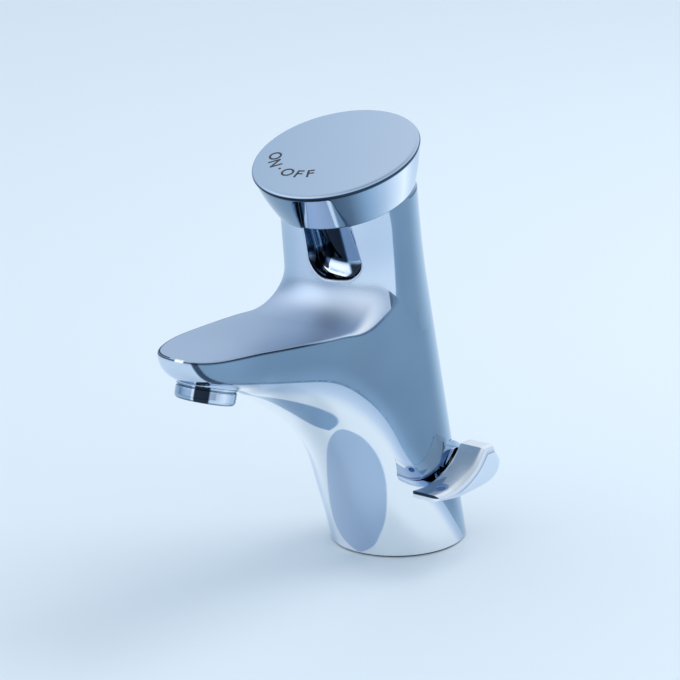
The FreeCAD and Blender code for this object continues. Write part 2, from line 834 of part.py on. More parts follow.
def fixing_stud():
    stud = cylinder(stud_radius, stud_bottom_z, stud_top_z, (0, stud_y))
    ends = [edge for edge in stud.Edges if edge.BoundBox.ZLength < tolerance]
    return stud.makeChamfer(stud_edge, ends)


pieces = (tap_body, push_cap, cap_plate, cap_screw, push_spindle, timing_piston, piston_seal,
          return_spring, cartridge_housing, cartridge_nut, cartridge_o_rings, spindle_bush,
          aerator_housing, aerator_insert, aerator_gasket, mixer_sleeve, mixer_gland, mixer_ring,
          mixer_drum, mixer_spindle, temperature_lever, index_plug, lever_grub_screw, base_gasket,
          check_valves, inlet_filters, fixing_stud, horseshoe_seal, horseshoe_plate, fixing_nut)

for piece in pieces:
    export(piece.__name__, piece())
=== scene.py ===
import bpy
import math
import numpy as np
from mathutils import Matrix, Vector


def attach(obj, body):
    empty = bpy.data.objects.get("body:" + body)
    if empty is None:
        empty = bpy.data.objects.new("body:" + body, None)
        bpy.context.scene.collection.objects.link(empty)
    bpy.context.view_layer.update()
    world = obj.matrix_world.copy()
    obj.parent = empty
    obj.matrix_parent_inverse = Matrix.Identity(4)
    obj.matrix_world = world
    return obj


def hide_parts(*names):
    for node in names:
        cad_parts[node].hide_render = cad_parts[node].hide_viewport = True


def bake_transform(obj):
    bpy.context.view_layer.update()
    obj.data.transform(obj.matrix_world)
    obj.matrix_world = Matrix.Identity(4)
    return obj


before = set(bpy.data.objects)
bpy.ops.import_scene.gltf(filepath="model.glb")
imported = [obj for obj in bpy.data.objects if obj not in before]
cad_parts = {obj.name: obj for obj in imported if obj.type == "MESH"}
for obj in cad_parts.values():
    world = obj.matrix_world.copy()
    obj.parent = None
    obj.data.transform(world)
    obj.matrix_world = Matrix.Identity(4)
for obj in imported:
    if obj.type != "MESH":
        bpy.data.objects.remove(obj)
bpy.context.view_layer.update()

# Sizes in millimetres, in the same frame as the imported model
MM = 0.001
HEAD_Y, HEAD_Z, HEAD_TILT = -32.8, 158.0, math.radians(18.0)
HEAD_SIN, HEAD_COS = math.sin(HEAD_TILT), math.cos(HEAD_TILT)
NOTCH_TURN = math.radians(18.5)
BASE_RADIUS, SHOULDER_RADIUS, NECK_RADIUS = 26.0, 24.5, 24.4
BASE_Z, SHOULDER_DEPTH, NECK_TOP_DEPTH = 0.6, 21.9, 6.5
SHOULDER_Y = HEAD_Y + SHOULDER_DEPTH * HEAD_SIN
SHOULDER_Z = HEAD_Z - SHOULDER_DEPTH * HEAD_COS
LEAN = SHOULDER_Y / SHOULDER_Z  # of the column's middle, in side view
TIP_Y, TOP_Z, TOP_SLOPE, TOP_DATUM_Y = -124.85, 101.0, 0.06, -80.0
UNDERSIDE = ((-124.6, 102.2), (-123.5, 97.8), (-120.4, 94.2), (-114.0, 91.4), (-107.0, 89.0), (-98.0, 85.6),
             (-86.0, 79.5), (-74.0, 72.0), (-62.0, 63.2), (-51.5, 53.0), (-41.6, 39.5), (-34.5, 22.0),
             (-28.8, 8.0), (-26.0, 0.0))
PLAN_SPREAD, PLAN_BLUNTNESS, PLAN_TAPER, PLAN_LIMIT, PLAN_BLEND = 19.0, 7.5, 0.12, 25.2, 1.5
CROWN_HEIGHT, CROWN_HALF, CROWN_RUN = 2.4, 25.0, 28.0
CORNER_SHARE, CORNER_DROP, CORNER_OUT = 0.72, 8.0, 10.0
BELL_Y, BELL_FLARE, BELL_BLEND, BELL_SINK = -25.0, 15.0, 4.0, 6.0
BELL_FADE = (17.0, 30.0)
NECK_BLEND_HALF = 6.0
NOSE_FROM, NOSE_TO, NOSE_FULLNESS = -91.0, -101.0, 1.22
UPPER_FRINGE, FRINGE_FROM, FRINGE_TO, LEAST_HALF, LEAST_DEPTH = (-16.0, -5.0), -25.0, -45.0, 3.0, 1.0
EDGE_BLEND, CORNER_BLEND, CORNER_BAND = 1.4, 2.6, (-64.0, -44.0)
REAR_BAND, REAR_SINK, SINK_FROM, SINK_TO, BASE_EDGE = (-1.5, 0.5), 6.0, 100.0, 80.0, 0.5


def smooth_step(low, high, value):
    """Zero before low and one past high, with a smooth rise between; high may be the smaller."""
    share = np.clip((value - low) / (high - low), 0, 1)
    return share * share * (3 - 2 * share)


def soft_min(a, b, blend):
    """Smaller of two fields, with a fillet where they are less than the blend apart."""
    near = np.maximum(blend - np.abs(a - b), 0) / blend
    return np.minimum(a, b) - near * near * blend / 4


def soft_max(a, b, blend):
    """Larger of two fields, with the same fillet."""
    return -soft_min(-a, -b, blend)


def spline_through(xs, ys):
    """Natural cubic spline through the points, as a function."""
    xs, ys = np.asarray(xs, float), np.asarray(ys, float)
    n = len(xs)
    step = np.diff(xs)
    system, right = np.eye(n), np.zeros(n)
    for i in range(1, n - 1):
        system[i, i - 1:i + 2] = step[i - 1], 2 * (step[i - 1] + step[i]), step[i]
        right[i] = 6 * ((ys[i + 1] - ys[i]) / step[i] - (ys[i] - ys[i - 1]) / step[i - 1])
    bend = np.linalg.solve(system, right)

    def value(x):
        x = np.clip(x, xs[0], xs[-1])
        i = np.clip(np.searchsorted(xs, x) - 1, 0, n - 2)
        a, b = (xs[i + 1] - x) / step[i], (x - xs[i]) / step[i]
        curve = (a ** 3 - a) * bend[i] + (b ** 3 - b) * bend[i + 1]
        return a * ys[i] + b * ys[i + 1] + curve * step[i] ** 2 / 6

    return value


def head_frame(x, y, z):
    """Position on the head's tilted axes: across, towards the rear, and in depth below the cap's top."""
    ry, rz = y - HEAD_Y, z - HEAD_Z
    return x, ry * HEAD_COS + rz * HEAD_SIN, ry * HEAD_SIN - rz * HEAD_COS


def column_field(x, y, z):
    """Ruled skin between the base circle and the tilted shoulder circle."""
    height = SHOULDER_Z - BASE_Z
    t = (z - BASE_Z) / height
    for _ in range(4):
        wide_y = (1 - t) * BASE_RADIUS + t * SHOULDER_RADIUS * HEAD_COS
        v = (y - t * SHOULDER_Y) / wide_y
        t = (z - BASE_Z - v * t * SHOULDER_RADIUS * HEAD_SIN) / height
    wide_y = (1 - t) * BASE_RADIUS + t * SHOULDER_RADIUS * HEAD_COS
    wide_x = (1 - t) * BASE_RADIUS + t * SHOULDER_RADIUS
    v = (y - t * SHOULDER_Y) / wide_y
    return (np.hypot(x / wide_x, v) - 1) * wide_x


# The lower front is drawn in planes that fan out from a line across the tap, at this place in side view
FAN_Y, FAN_Z = -104.0, 2.0
underside_polar = sorted((math.atan2(z - FAN_Z, y - FAN_Y), math.hypot(y - FAN_Y, z - FAN_Z))
                         for y, z in UNDERSIDE)
underside_reach = spline_through(*zip(*underside_polar))


def spout_top(y):
    """Height of the spout's top edge."""
    return TOP_Z - TOP_SLOPE * (y - TOP_DATUM_Y)


def spout_half_width(y):
    """Half the spout's width in plan, from its blunt tip back."""
    back = np.maximum(y - TIP_Y, 1e-6)
    plan = PLAN_SPREAD * np.sqrt(back / (back + PLAN_BLUNTNESS)) + PLAN_TAPER * back
    return np.where(y > TIP_Y, soft_min(plan, PLAN_LIMIT, PLAN_BLEND), y - TIP_Y)


def ridge():
    """Widest line of the body in side view: up the column's middle, then out along the spout's top edge."""
    corner_z = spout_top(SHOULDER_Y * CORNER_SHARE)
    corner_y = LEAN * corner_z
    end_y = corner_y - CORNER_OUT
    points = []
    for z in np.linspace(0.0, corner_z - CORNER_DROP, 40):
        wide = BASE_RADIUS + (SHOULDER_RADIUS - BASE_RADIUS) * z / SHOULDER_Z
        points.append((LEAN * z, z, wide))
    start = points[-1]
    for t in np.linspace(0.1, 0.9, 7):
        y = (1 - t) ** 2 * start[0] + 2 * t * (1 - t) * corner_y + t * t * end_y
        z = (1 - t) ** 2 * start[1] + 2 * t * (1 - t) * corner_z + t * t * spout_top(end_y)
        points.append((y, z, start[2] * (1 - t) + float(spout_half_width(np.array(end_y))) * t))
    for y in np.concatenate([np.linspace(end_y, -110.0, 40), np.linspace(-111.0, TIP_Y + 0.02, 40)]):
        points.append((y, spout_top(y), float(spout_half_width(np.array(y)))))
    return np.array(points)


def evened(values, width):
    """Running average with a bell-shaped window; past each end the values go on turned over."""
    half = int(3 * width)
    window = np.exp(-0.5 * (np.arange(-half, half + 1) / width) ** 2)
    before, after = 2 * values[0] - values[half:0:-1], 2 * values[-1] - values[-2:-half - 2:-1]
    return np.convolve(np.concatenate([before, values, after]), window / window.sum(), "valid")


# The ridge by angle in the fan, evened out except near the tip
RIDGE_STEPS, REACH_EVENED, WIDTH_EVENED, EVENED_FROM, EVENED_TO = 1200, 11, 4, 18.0, 34.0
ridge_y, ridge_z, ridge_width = ridge().T
ridge_angle = np.arctan2(ridge_z - FAN_Z, ridge_y - FAN_Y)
fan_angles = np.linspace(ridge_angle[0], ridge_angle[-1], RIDGE_STEPS)
steps_per_degree = RIDGE_STEPS / math.degrees(ridge_angle[-1] - ridge_angle[0])
fan_reach = np.interp(fan_angles, ridge_angle, np.hypot(ridge_y - FAN_Y, ridge_z - FAN_Z))
fan_width = np.interp(fan_angles, ridge_angle, ridge_width)
tip_angle = fan_angles[-1]
off_tip = smooth_step(tip_angle - math.radians(EVENED_FROM), tip_angle - math.radians(EVENED_TO), fan_angles)
fan_reach = fan_reach + off_tip * (evened(fan_reach, REACH_EVENED * steps_per_degree) - fan_reach)
fan_width = fan_width + off_tip * (evened(fan_width, WIDTH_EVENED * steps_per_degree) - fan_width)
FULLNESS = 2.5  # power of the half ellipses at the spout's height; it is 2 at the base


def fan_field(x, y, z):
    """Skin of the lower front: half ellipses in planes that turn from the base up to the spout's tip."""
    angle = np.arctan2(z - FAN_Z, y - FAN_Y)
    reach = np.hypot(y - FAN_Y, z - FAN_Z)
    far = np.interp(angle, fan_angles, fan_reach)
    near = underside_reach(angle)
    wide = np.interp(angle, fan_angles, fan_width)
    deep = np.maximum(far - near, LEAST_DEPTH)
    share = np.maximum(far - reach, 0) / deep
    low_z = FAN_Z + near * np.sin(angle)
    power = 2 + (FULLNESS - 2) * np.clip(low_z / TOP_Z, 0, 1)
    beyond = smooth_step(*UPPER_FRINGE, z - spout_top(y)) * smooth_step(FRINGE_FROM, FRINGE_TO, y)
    wide_here = np.maximum(wide + beyond * (spout_half_width(y) - wide), LEAST_HALF)
    size = (share ** power + (np.abs(x) / wide_here) ** power) ** (1 / power)
    skin = (size - 1) * np.minimum(wide_here, deep)
    nose = smooth_step(NOSE_FROM, NOSE_TO, y)
    return nose * nose_field(x, y, z) + (1 - nose) * skin


# Depth of the egg's curve by the distance back from the tip
nose_depth = spline_through((0.0, 1.35, 4.45, 10.85, 17.85, 26.85, 38.85, 50.85),
                            (27.0, 24.9, 19.0, 12.5, 10.4, 10.15, 12.3, 16.1))


def nose_field(x, y, z):
    """Skin of the spout's end: half ellipses in upright planes, closed at the tip like an egg."""
    back = y - TIP_Y
    length = np.maximum(back, 0.02)
    wide = spout_half_width(TIP_Y + length) ** 2 / length
    deep = nose_depth(length)
    drop = np.maximum(spout_top(y) - z, 0)
    power = NOSE_FULLNESS
    share = ((x * x / wide) ** power + (drop * drop / deep) ** power) ** (1 / power) - back
    return share / np.sqrt(1 + (2 * x / wide) ** 2 + (2 * drop / deep) ** 2)


def above_top(x, y, z):
    """Height above the spout's crowned top."""
    crown = CROWN_HEIGHT * (1 - (x / CROWN_HALF) ** 2)
    return z - spout_top(y) - crown * smooth_step(TIP_Y, TIP_Y + CROWN_RUN, y)


def trunk_field(x, y, z):
    """Column, tilted neck and the upright front of the neck in one skin."""
    across, forth, depth = head_frame(x, y, z)
    neck = np.hypot(across, forth) - NECK_RADIUS
    up = smooth_step(SHOULDER_DEPTH + NECK_BLEND_HALF, SHOULDER_DEPTH - NECK_BLEND_HALF, depth)
    rear = up * neck + (1 - up) * column_field(x, y, z)
    bell = np.hypot(x, y - BELL_Y) - NECK_RADIUS
    within_neck = neck - BELL_SINK * smooth_step(*BELL_FADE, depth)
    bell = np.where(depth < BELL_FADE[1], np.maximum(bell, within_neck), bell)
    bell = np.maximum(bell, spout_top(y) - BELL_BLEND - z)
    return soft_min(rear, bell, BELL_BLEND)


def top_field(x, y, z):
    """Under the spout's crowned top, with the hollow flare up to the neck."""
    a = np.maximum(BELL_FLARE - above_top(x, y, z), 0)
    b = np.maximum(BELL_FLARE - trunk_field(x, y, z), 0)
    return BELL_FLARE - np.hypot(a, b)


def body_field(x, y, z):
    """Below zero inside the tap's body."""
    depth = head_frame(x, y, z)[2]
    rear = trunk_field(x, y, z)
    blend = EDGE_BLEND + CORNER_BLEND * smooth_step(*CORNER_BAND, y)
    front = soft_max(fan_field(x, y, z), top_field(x, y, z), blend)
    sunk = rear + REAR_SINK * smooth_step(SINK_FROM, SINK_TO, z)
    past = smooth_step(*REAR_BAND, y - LEAN * z)
    body = past * rear + (1 - past) * np.minimum(sunk, front)
    body = np.maximum(body, NECK_TOP_DEPTH - depth)
    return soft_max(body, BASE_Z - z, BASE_EDGE)


SETTLE_ROUNDS, SETTLE_SHARE = 5, 0.4
TURN_SPLIT, TURN_SHORTEST = 0.985, 0.12
TONE_SPLIT, TONE_SHORTEST = 0.10, 0.22


def surface_net(field, low, high, cell):
    """Evenly spaced quads on the zero level of a field, moved onto it exactly."""
    axes = [np.arange(low[i], high[i] + cell, cell) for i in range(3)]
    size = tuple(len(axis) for axis in axes)
    values = np.empty(size, np.float32)
    for i, x in enumerate(axes[0]):
        grid_y, grid_z = np.meshgrid(axes[1], axes[2], indexing="ij")
        values[i] = field(np.full_like(grid_y, x), grid_y, grid_z)
    inside = values < 0
    total = np.zeros(tuple(n - 1 for n in size) + (3,))
    count = np.zeros(tuple(n - 1 for n in size))
    ends = slice(0, -1), slice(1, None)
    for axis in range(3):
        others = [i for i in range(3) if i != axis]
        for p in (0, 1):
            for q in (0, 1):
                first = [None] * 3
                first[axis], first[others[0]], first[others[1]] = ends[0], ends[p], ends[q]
                second = list(first)
                second[axis] = ends[1]
                a, b = values[tuple(first)], values[tuple(second)]
                crossing = (a < 0) != (b < 0)
                share = np.where(crossing, a / np.where(crossing, a - b, 1), 0)
                total[..., axis] += share
                total[..., others[0]] += crossing * p
                total[..., others[1]] += crossing * q
                count += crossing
    active = count > 0
    index = np.full(active.shape, -1)
    index[active] = np.arange(active.sum())
    cells = np.argwhere(active)
    points = np.array(low) + cell * (cells + total[active] / count[active][:, None])
    quads = []
    for axis in range(3):
        others = [i for i in range(3) if i != axis]
        first, second = [slice(None)] * 3, [slice(None)] * 3
        first[axis], second[axis] = ends
        outwards = inside[tuple(first)]
        places = np.argwhere(outwards != inside[tuple(second)])
        places = places[np.all([(places[:, o] > 0) & (places[:, o] < size[o] - 1) for o in others], axis=0)]
        flip = outwards[tuple(places.T)]
        corners = []
        for p, q in ((0, 0), (1, 0), (1, 1), (0, 1)):
            at = places.copy()
            at[:, others[0]] -= p
            at[:, others[1]] -= q
            corners.append(index[tuple(at.T)])
        corners = np.stack(corners, 1)
        if axis == 1:
            flip = ~flip
        corners[flip] = corners[flip][:, ::-1]
        quads.append(corners)
    quads = np.concatenate(quads)[:, ::-1]
    return settled(field, points, cell), quads


def settled(field, points, reach):
    """Points moved onto the zero level of the field, no further than the reach in all."""
    for _ in range(SETTLE_ROUNDS):
        slope = gradient(field, points)
        steep = np.maximum((slope ** 2).sum(1), 1e-4)
        move = -field(*points.T)[:, None] * slope / steep[:, None]
        length = np.maximum(np.linalg.norm(move, axis=1), 1e-9)
        points = points + move * np.minimum(1, SETTLE_SHARE * reach / length)[:, None]
    return points


def gradient(field, points, small=0.02):
    """Slope of the field at each point, from two places on each axis."""
    slope = np.empty_like(points)
    for axis in range(3):
        step = np.zeros(3)
        step[axis] = small
        slope[:, axis] = (field(*(points + step).T) - field(*(points - step).T)) / (2 * small)
    return slope


def unit_normals(field, points):
    """Directions that face outwards at the points."""
    normals = gradient(field, points)
    return normals / np.maximum(np.linalg.norm(normals, axis=1), 1e-9)[:, None]


def refined(field, points, triangles, rounds, tone=None):
    """Splits the edges across which the surface turns or its painted tone changes, and leaves the rest large.
    """
    normals = unit_normals(field, points)
    shade = tone(points, normals) if tone else np.zeros(len(points))
    for _ in range(rounds):
        edges = np.sort(triangles[:, [0, 1, 1, 2, 2, 0]].reshape(-1, 2), axis=1)
        edges, which = np.unique(edges, axis=0, return_inverse=True)
        which = which.reshape(-1, 3)
        start, end = points[edges[:, 0]], points[edges[:, 1]]
        length = np.linalg.norm(end - start, axis=1)
        turned = (normals[edges[:, 0]] * normals[edges[:, 1]]).sum(1) < TURN_SPLIT
        shaded = np.abs(shade[edges[:, 0]] - shade[edges[:, 1]]) > TONE_SPLIT
        split = turned & (length > TURN_SHORTEST) | shaded & (length > TONE_SHORTEST)
        if not split.any():
            break
        middle = settled(field, (start[split] + end[split]) / 2, length[split].mean())
        number = np.full(len(edges), -1)
        number[split] = len(points) + np.arange(split.sum())
        points = np.concatenate([points, middle])
        normals = np.concatenate([normals, unit_normals(field, middle)])
        added = slice(len(shade), None)
        fresh = tone(points[added], normals[added]) if tone else np.zeros(len(middle))
        shade = np.concatenate([shade, fresh])
        mid = number[which]
        cut = mid >= 0
        pieces = [triangles[cut.sum(1) == 0]]
        for turn in range(3):
            corner, side = np.roll(triangles, -turn, axis=1), np.roll(mid, -turn, axis=1)
            has = np.roll(cut, -turn, axis=1)
            one = has[:, 0] & ~has[:, 1] & ~has[:, 2]
            c, m = corner[one], side[one]
            pieces += [np.stack([c[:, 0], m[:, 0], c[:, 2]], 1), np.stack([m[:, 0], c[:, 1], c[:, 2]], 1)]
            two = has[:, 0] & has[:, 1] & ~has[:, 2]
            c, m = corner[two], side[two]
            pieces += [np.stack([m[:, 0], c[:, 1], m[:, 1]], 1), np.stack([c[:, 0], m[:, 0], m[:, 1]], 1),
                       np.stack([c[:, 0], m[:, 1], c[:, 2]], 1)]
        every = cut.all(1)
        c, m = triangles[every], mid[every]
        pieces += [np.stack([c[:, 0], m[:, 0], m[:, 2]], 1), np.stack([m[:, 0], c[:, 1], m[:, 1]], 1),
                   np.stack([m[:, 2], m[:, 1], c[:, 2]], 1), m]
        triangles = np.concatenate(pieces)
    return points, triangles, normals


def net_object(name, field, low, high, cell, rounds=3, tone=None, rough=None):
    """Mesh of a field's zero level, with a tone of painted reflection and shade and a roughness for each
    point where these are given.
    """
    points, quads = surface_net(field, low, high, cell)
    triangles = np.concatenate([quads[:, [0, 1, 2]], quads[:, [0, 2, 3]]])
    points, triangles, normals = refined(field, points, triangles, rounds, tone)
    mesh = bpy.data.meshes.new(name)
    mesh.from_pydata((points * MM).tolist(), [], triangles.tolist())
    mesh.validate()
    mesh.shade_smooth()
    mesh.normals_split_custom_set_from_vertices(normals.tolist())
    for label, values in (("tone", tone), ("rough", rough)):
        if values:
            mesh.attributes.new(label, "FLOAT", "POINT").data.foreach_set("value", values(points, normals))
    piece = bpy.data.objects.new(name, mesh)
    bpy.context.scene.collection.objects.link(piece)
    return piece


SCOOP_FLOOR, SCOOP_TOP, SCOOP_LEFT, SCOOP_RIGHT = 20.5, 17.8, 35.0, 38.2
SCOOP_HALF, SCOOP_SPREAD, SCOOP_LEAN, SCOOP_LENGTH = 9.0, 0.9, 1.2, 20.0
SCOOP_CORNER, SCOOP_REACH, SCOOP_HIDDEN, SCOOP_EDGE = 6.5, 21.0, 6.0, 1.2
LEDGE_DEPTH, LEDGE_BAND = 3.4, (-5.5, 0.5)


def notch_frame(across, forth):
    """The same position turned to the notch of the cap: to the side of it, and out along it below zero."""
    side = across * math.cos(NOTCH_TURN) + forth * math.sin(NOTCH_TURN)
    return side, -across * math.sin(NOTCH_TURN) + forth * math.cos(NOTCH_TURN)


def scoop_field(x, y, z):
    """Slot down the front of the neck, below the notch of the cap, with a sloping ledge at its foot."""
    across, forth, depth = head_frame(x, y, z)
    turned, front = notch_frame(across, forth)
    share = (depth - SCOOP_TOP) / SCOOP_LENGTH
    half = SCOOP_HALF + SCOOP_SPREAD * share
    middle = SCOOP_LEAN * share
    sides = np.abs(turned - middle) - half
    left = np.clip((middle - turned) / (2 * half) + 0.5, -0.2, 1.2)
    foot = depth - (SCOOP_RIGHT + (SCOOP_LEFT - SCOOP_RIGHT) * left)
    a, b = np.maximum(sides + SCOOP_CORNER, 0), np.maximum(foot + SCOOP_CORNER, 0)
    slot = np.where((a > 0) & (b > 0), np.hypot(a, b) - SCOOP_CORNER, np.maximum(sides, foot))
    floor = SCOOP_FLOOR + smooth_step(*LEDGE_BAND, foot) * LEDGE_DEPTH - np.hypot(turned, forth)
    slot = np.maximum(soft_max(slot, floor, SCOOP_EDGE), np.abs(front + SCOOP_REACH) - SCOOP_REACH)
    return np.maximum(slot, SCOOP_TOP - SCOOP_HIDDEN - depth)


AERATOR_Y, AERATOR_Z, AERATOR_TILT = -110.2, 84.2, math.radians(18.0)
AERATOR_RADIUS, AERATOR_HEIGHT, AERATOR_BORE, AERATOR_ROLL = 11.0, 6.0, 8.5, 1.8
AERATOR_CUT, AERATOR_EDGE, AERATOR_CUT_EDGE = 0.4, 0.4, 0.3
GROOVE_HEIGHT, GROOVE_HALF, FLAT_HEIGHT, FLAT_HALF = 4.9, 0.28, 2.7, 1.5
NECK_THREAD_RADIUS, NECK_THREAD_DEPTH, NECK_THREAD_PITCH = 9.4, 0.35, 1.0
NECK_THREAD_TOP, NECK_THREAD_SUNK = 9.5, 0.5


def outlet_frame(y, z):
    """Position along and up the aerator's tilted axis, from the middle of its lower face."""
    tilt_sin, tilt_cos = math.sin(AERATOR_TILT), math.cos(AERATOR_TILT)
    ry, rz = y - AERATOR_Y, z - AERATOR_Z
    return ry * tilt_cos - rz * tilt_sin, ry * tilt_sin + rz * tilt_cos


def saw(turns):
    """Triangle wave from 0 to 1 and back over each turn."""
    return np.abs(2 * (turns - np.floor(turns)) - 1)


def aerator_field(x, y, z):
    """Ring with a rolled lower edge, a groove, two flats for a key and a threaded neck."""
    out_y, out_z = outlet_frame(y, z)
    radius = np.hypot(x, out_y)
    cut = AERATOR_RADIUS - AERATOR_CUT
    ring = soft_max(radius - AERATOR_RADIUS, -out_z, AERATOR_ROLL)
    ring = soft_max(ring, out_z - AERATOR_HEIGHT, AERATOR_EDGE)
    groove = np.maximum(np.abs(out_z - GROOVE_HEIGHT) - GROOVE_HALF, cut - radius)
    ring = soft_max(ring, -groove, AERATOR_CUT_EDGE)
    flats = np.maximum(np.abs(out_z - FLAT_HEIGHT) - FLAT_HALF, cut - np.abs(x))
    ring = soft_max(ring, -flats, AERATOR_CUT_EDGE)
    turns = out_z / NECK_THREAD_PITCH - np.arctan2(out_y, x) / (2 * math.pi)
    thread = radius - NECK_THREAD_RADIUS + NECK_THREAD_DEPTH * saw(turns)
    ends = np.maximum(out_z - NECK_THREAD_TOP, AERATOR_HEIGHT - NECK_THREAD_SUNK - out_z)
    return np.maximum(np.minimum(ring, np.maximum(thread, ends)), AERATOR_BORE - radius)


# Painted reflection tones by the bearing around the nozzle, from its front towards the right
AERATOR_PAINTED_TONES = ((-180, -90, -30, 10, 13, 16, 18, 45, 48, 80, 100, 180),
                 (0.5, 0.5, 0.45, 0.52, 0.95, 0.95, 0.03, 0.03, 0.80, 0.90, 0.60, 0.5))


def aerator_painted_light(points, normals):
    """Painted reflections on the ring: pale, with a dark patch towards the front right, and painted shade in
    the groove and along the lower edge.
    """
    out_y, out_z = outlet_frame(points[:, 1], points[:, 2])
    tone = np.interp(np.degrees(np.arctan2(points[:, 0], -out_y)), *AERATOR_PAINTED_TONES)
    groove = smooth_step(0.45, 0.2, np.abs(out_z - GROOVE_HEIGHT))
    return tone * (1 - 0.7 * smooth_step(0.9, 0.3, out_z)) * (1 - 0.6 * groove)


STUD_Y, STUD_RADIUS, STUD_LOW, STUD_HIGH, STUD_PITCH = 13.0, 4.0, -44.0, 17.0, 1.25
STUD_THREAD_DEPTH, STUD_POINT, STUD_CLEAR, STUD_SLOPE = 0.7, 0.9, 0.02, 0.7


def stud_field(x, y, z):
    """Threaded rod with pointed ends."""
    radius = np.hypot(x, y - STUD_Y)
    turns = z / STUD_PITCH - np.arctan2(y - STUD_Y, x) / (2 * math.pi)
    thread = radius - STUD_RADIUS + STUD_CLEAR + STUD_THREAD_DEPTH * saw(turns)
    ends = np.maximum(STUD_LOW + STUD_CLEAR - z, z - STUD_HIGH)
    points = np.maximum(ends + radius - STUD_RADIUS + STUD_POINT, ends)
    return np.maximum(np.maximum(thread * STUD_SLOPE, ends), points * STUD_SLOPE)


BOSS_OVER, BOSS_MIDDLE, BOSS_HALF, BOSS_BLEND = 0.2, 2.0, 1.95, 1.2
SEAT_OVER, SEAT_GAP, SCOOP_RIM = 0.3, 0.05, 0.9
GASKET_RADIUS, GASKET_TOP = 24.2, 2.05
MIXER_Y, MIXER_Z, MIXER_RADIUS, MIXER_FROM, MIXER_GAP, MIXER_EDGE = 2.0, 32.5, 9.0, 4.0, 0.05, 0.4


def tap_field(x, y, z):
    """The casting: body, boss and seat of the nozzle, slot, and the bores for the gasket and the mixer."""
    out_y, out_z = outlet_frame(y, z)
    radius = np.hypot(x, out_y)
    boss = np.abs(out_z - AERATOR_HEIGHT - BOSS_MIDDLE) - BOSS_HALF
    body = soft_min(body_field(x, y, z), np.maximum(radius - AERATOR_RADIUS - BOSS_OVER, boss), BOSS_BLEND)
    seat = np.maximum(radius - AERATOR_RADIUS - SEAT_OVER, out_z - AERATOR_HEIGHT - SEAT_GAP)
    body = soft_max(np.maximum(body, -seat), -scoop_field(x, y, z), SCOOP_RIM)
    gasket = np.maximum(np.hypot(x, y) - GASKET_RADIUS, z - GASKET_TOP)
    mixer = np.maximum(np.hypot(y - MIXER_Y, z - MIXER_Z) - MIXER_RADIUS - MIXER_GAP, MIXER_FROM - x)
    return soft_max(np.maximum(body, -gasket), -mixer, MIXER_EDGE)


CAP_TOP_RADIUS, CAP_BOTTOM_RADIUS, CAP_HEIGHT, PLATE_THICKNESS = 31.4, 26.2, 17.1, 1.4
CAP_BULGE, CAP_FOOT_EDGE, CAP_TOP_EDGE, CAP_GAP, CAP_ROOF = 0.55, 0.7, 0.25, 0.35, 1.2
CAP_SUNK, HUB_SUNK = 0.02, 0.1
NOTCH_TOP, NOTCH_HALF, NOTCH_SPREAD, NOTCH_CORNER, NOTCH_EDGE, PANEL_RADIUS = 2.4, 7.4, 1.6, 1.6, 0.5, 25.7
HUB_RADIUS, HUB_DEPTH, SPINDLE_RADIUS, SPINDLE_FROM = 8.0, 8.0, 4.05, 5.0
SCREW_HEAD_RADIUS, SCREW_HEAD_DEPTH, SCREW_RADIUS = 3.65, 3.45, 2.05


def notch_half(depth):
    """Half the width of the notch at a depth below the cap's top."""
    return NOTCH_HALF + NOTCH_SPREAD * (depth - NOTCH_TOP) / CAP_HEIGHT


def cap_field(x, y, z):
    """Flared skirt of the cap with the notch at its front, its wall, its roof and the hub below."""
    across, forth, depth = head_frame(x, y, z)
    radius = np.hypot(across, forth)
    share = np.clip(depth / CAP_HEIGHT, 0, 1)
    cone = CAP_TOP_RADIUS + (CAP_BOTTOM_RADIUS - CAP_TOP_RADIUS) * share + CAP_BULGE * np.sin(math.pi * share)
    outside = soft_max(radius - cone, depth - CAP_HEIGHT, CAP_FOOT_EDGE)
    outside = soft_max(outside, PLATE_THICKNESS + CAP_SUNK - depth, CAP_TOP_EDGE)
    hollow = np.maximum(radius - NECK_RADIUS - CAP_GAP, PLATE_THICKNESS + CAP_ROOF - depth)
    turned, front = notch_frame(across, forth)
    notch = soft_max(np.abs(turned) - notch_half(depth), NOTCH_TOP - depth, NOTCH_CORNER)
    notch = np.maximum(soft_max(notch, PANEL_RADIUS - radius, NOTCH_EDGE), front)
    shell = soft_max(np.maximum(outside, -hollow), -notch, NOTCH_EDGE)
    hub = np.maximum(radius - HUB_RADIUS, np.maximum(depth - HUB_DEPTH, PLATE_THICKNESS + HUB_SUNK - depth))
    body = np.minimum(shell, hub)
    body = np.maximum(body, -np.maximum(radius - SCREW_HEAD_RADIUS, depth - SCREW_HEAD_DEPTH))
    body = np.maximum(body, SCREW_RADIUS - radius)
    return np.maximum(body, -np.maximum(radius - SPINDLE_RADIUS, SPINDLE_FROM - depth))


# Painted reflection tones by the bearing around the cap, and painted reflection and shade across the flat
# panel of the notch from its left to its right
CAP_PAINTED_TONES = ((-180, -120, -60, -25, 5, 34, 44, 60, 78, 90, 110, 150, 180),
             (0.55, 0.55, 0.45, 0.34, 0.33, 0.16, 0.22, 0.50, 0.86, 1.00, 0.66, 0.55, 0.55))
PANEL_PAINTED_TONES = ((-1.0, -0.88, -0.80, -0.2, 0.62, 0.70, 0.90, 1.0),
               (0.02, 0.02, 0.66, 0.80, 0.86, 0.30, 0.26, 0.02))


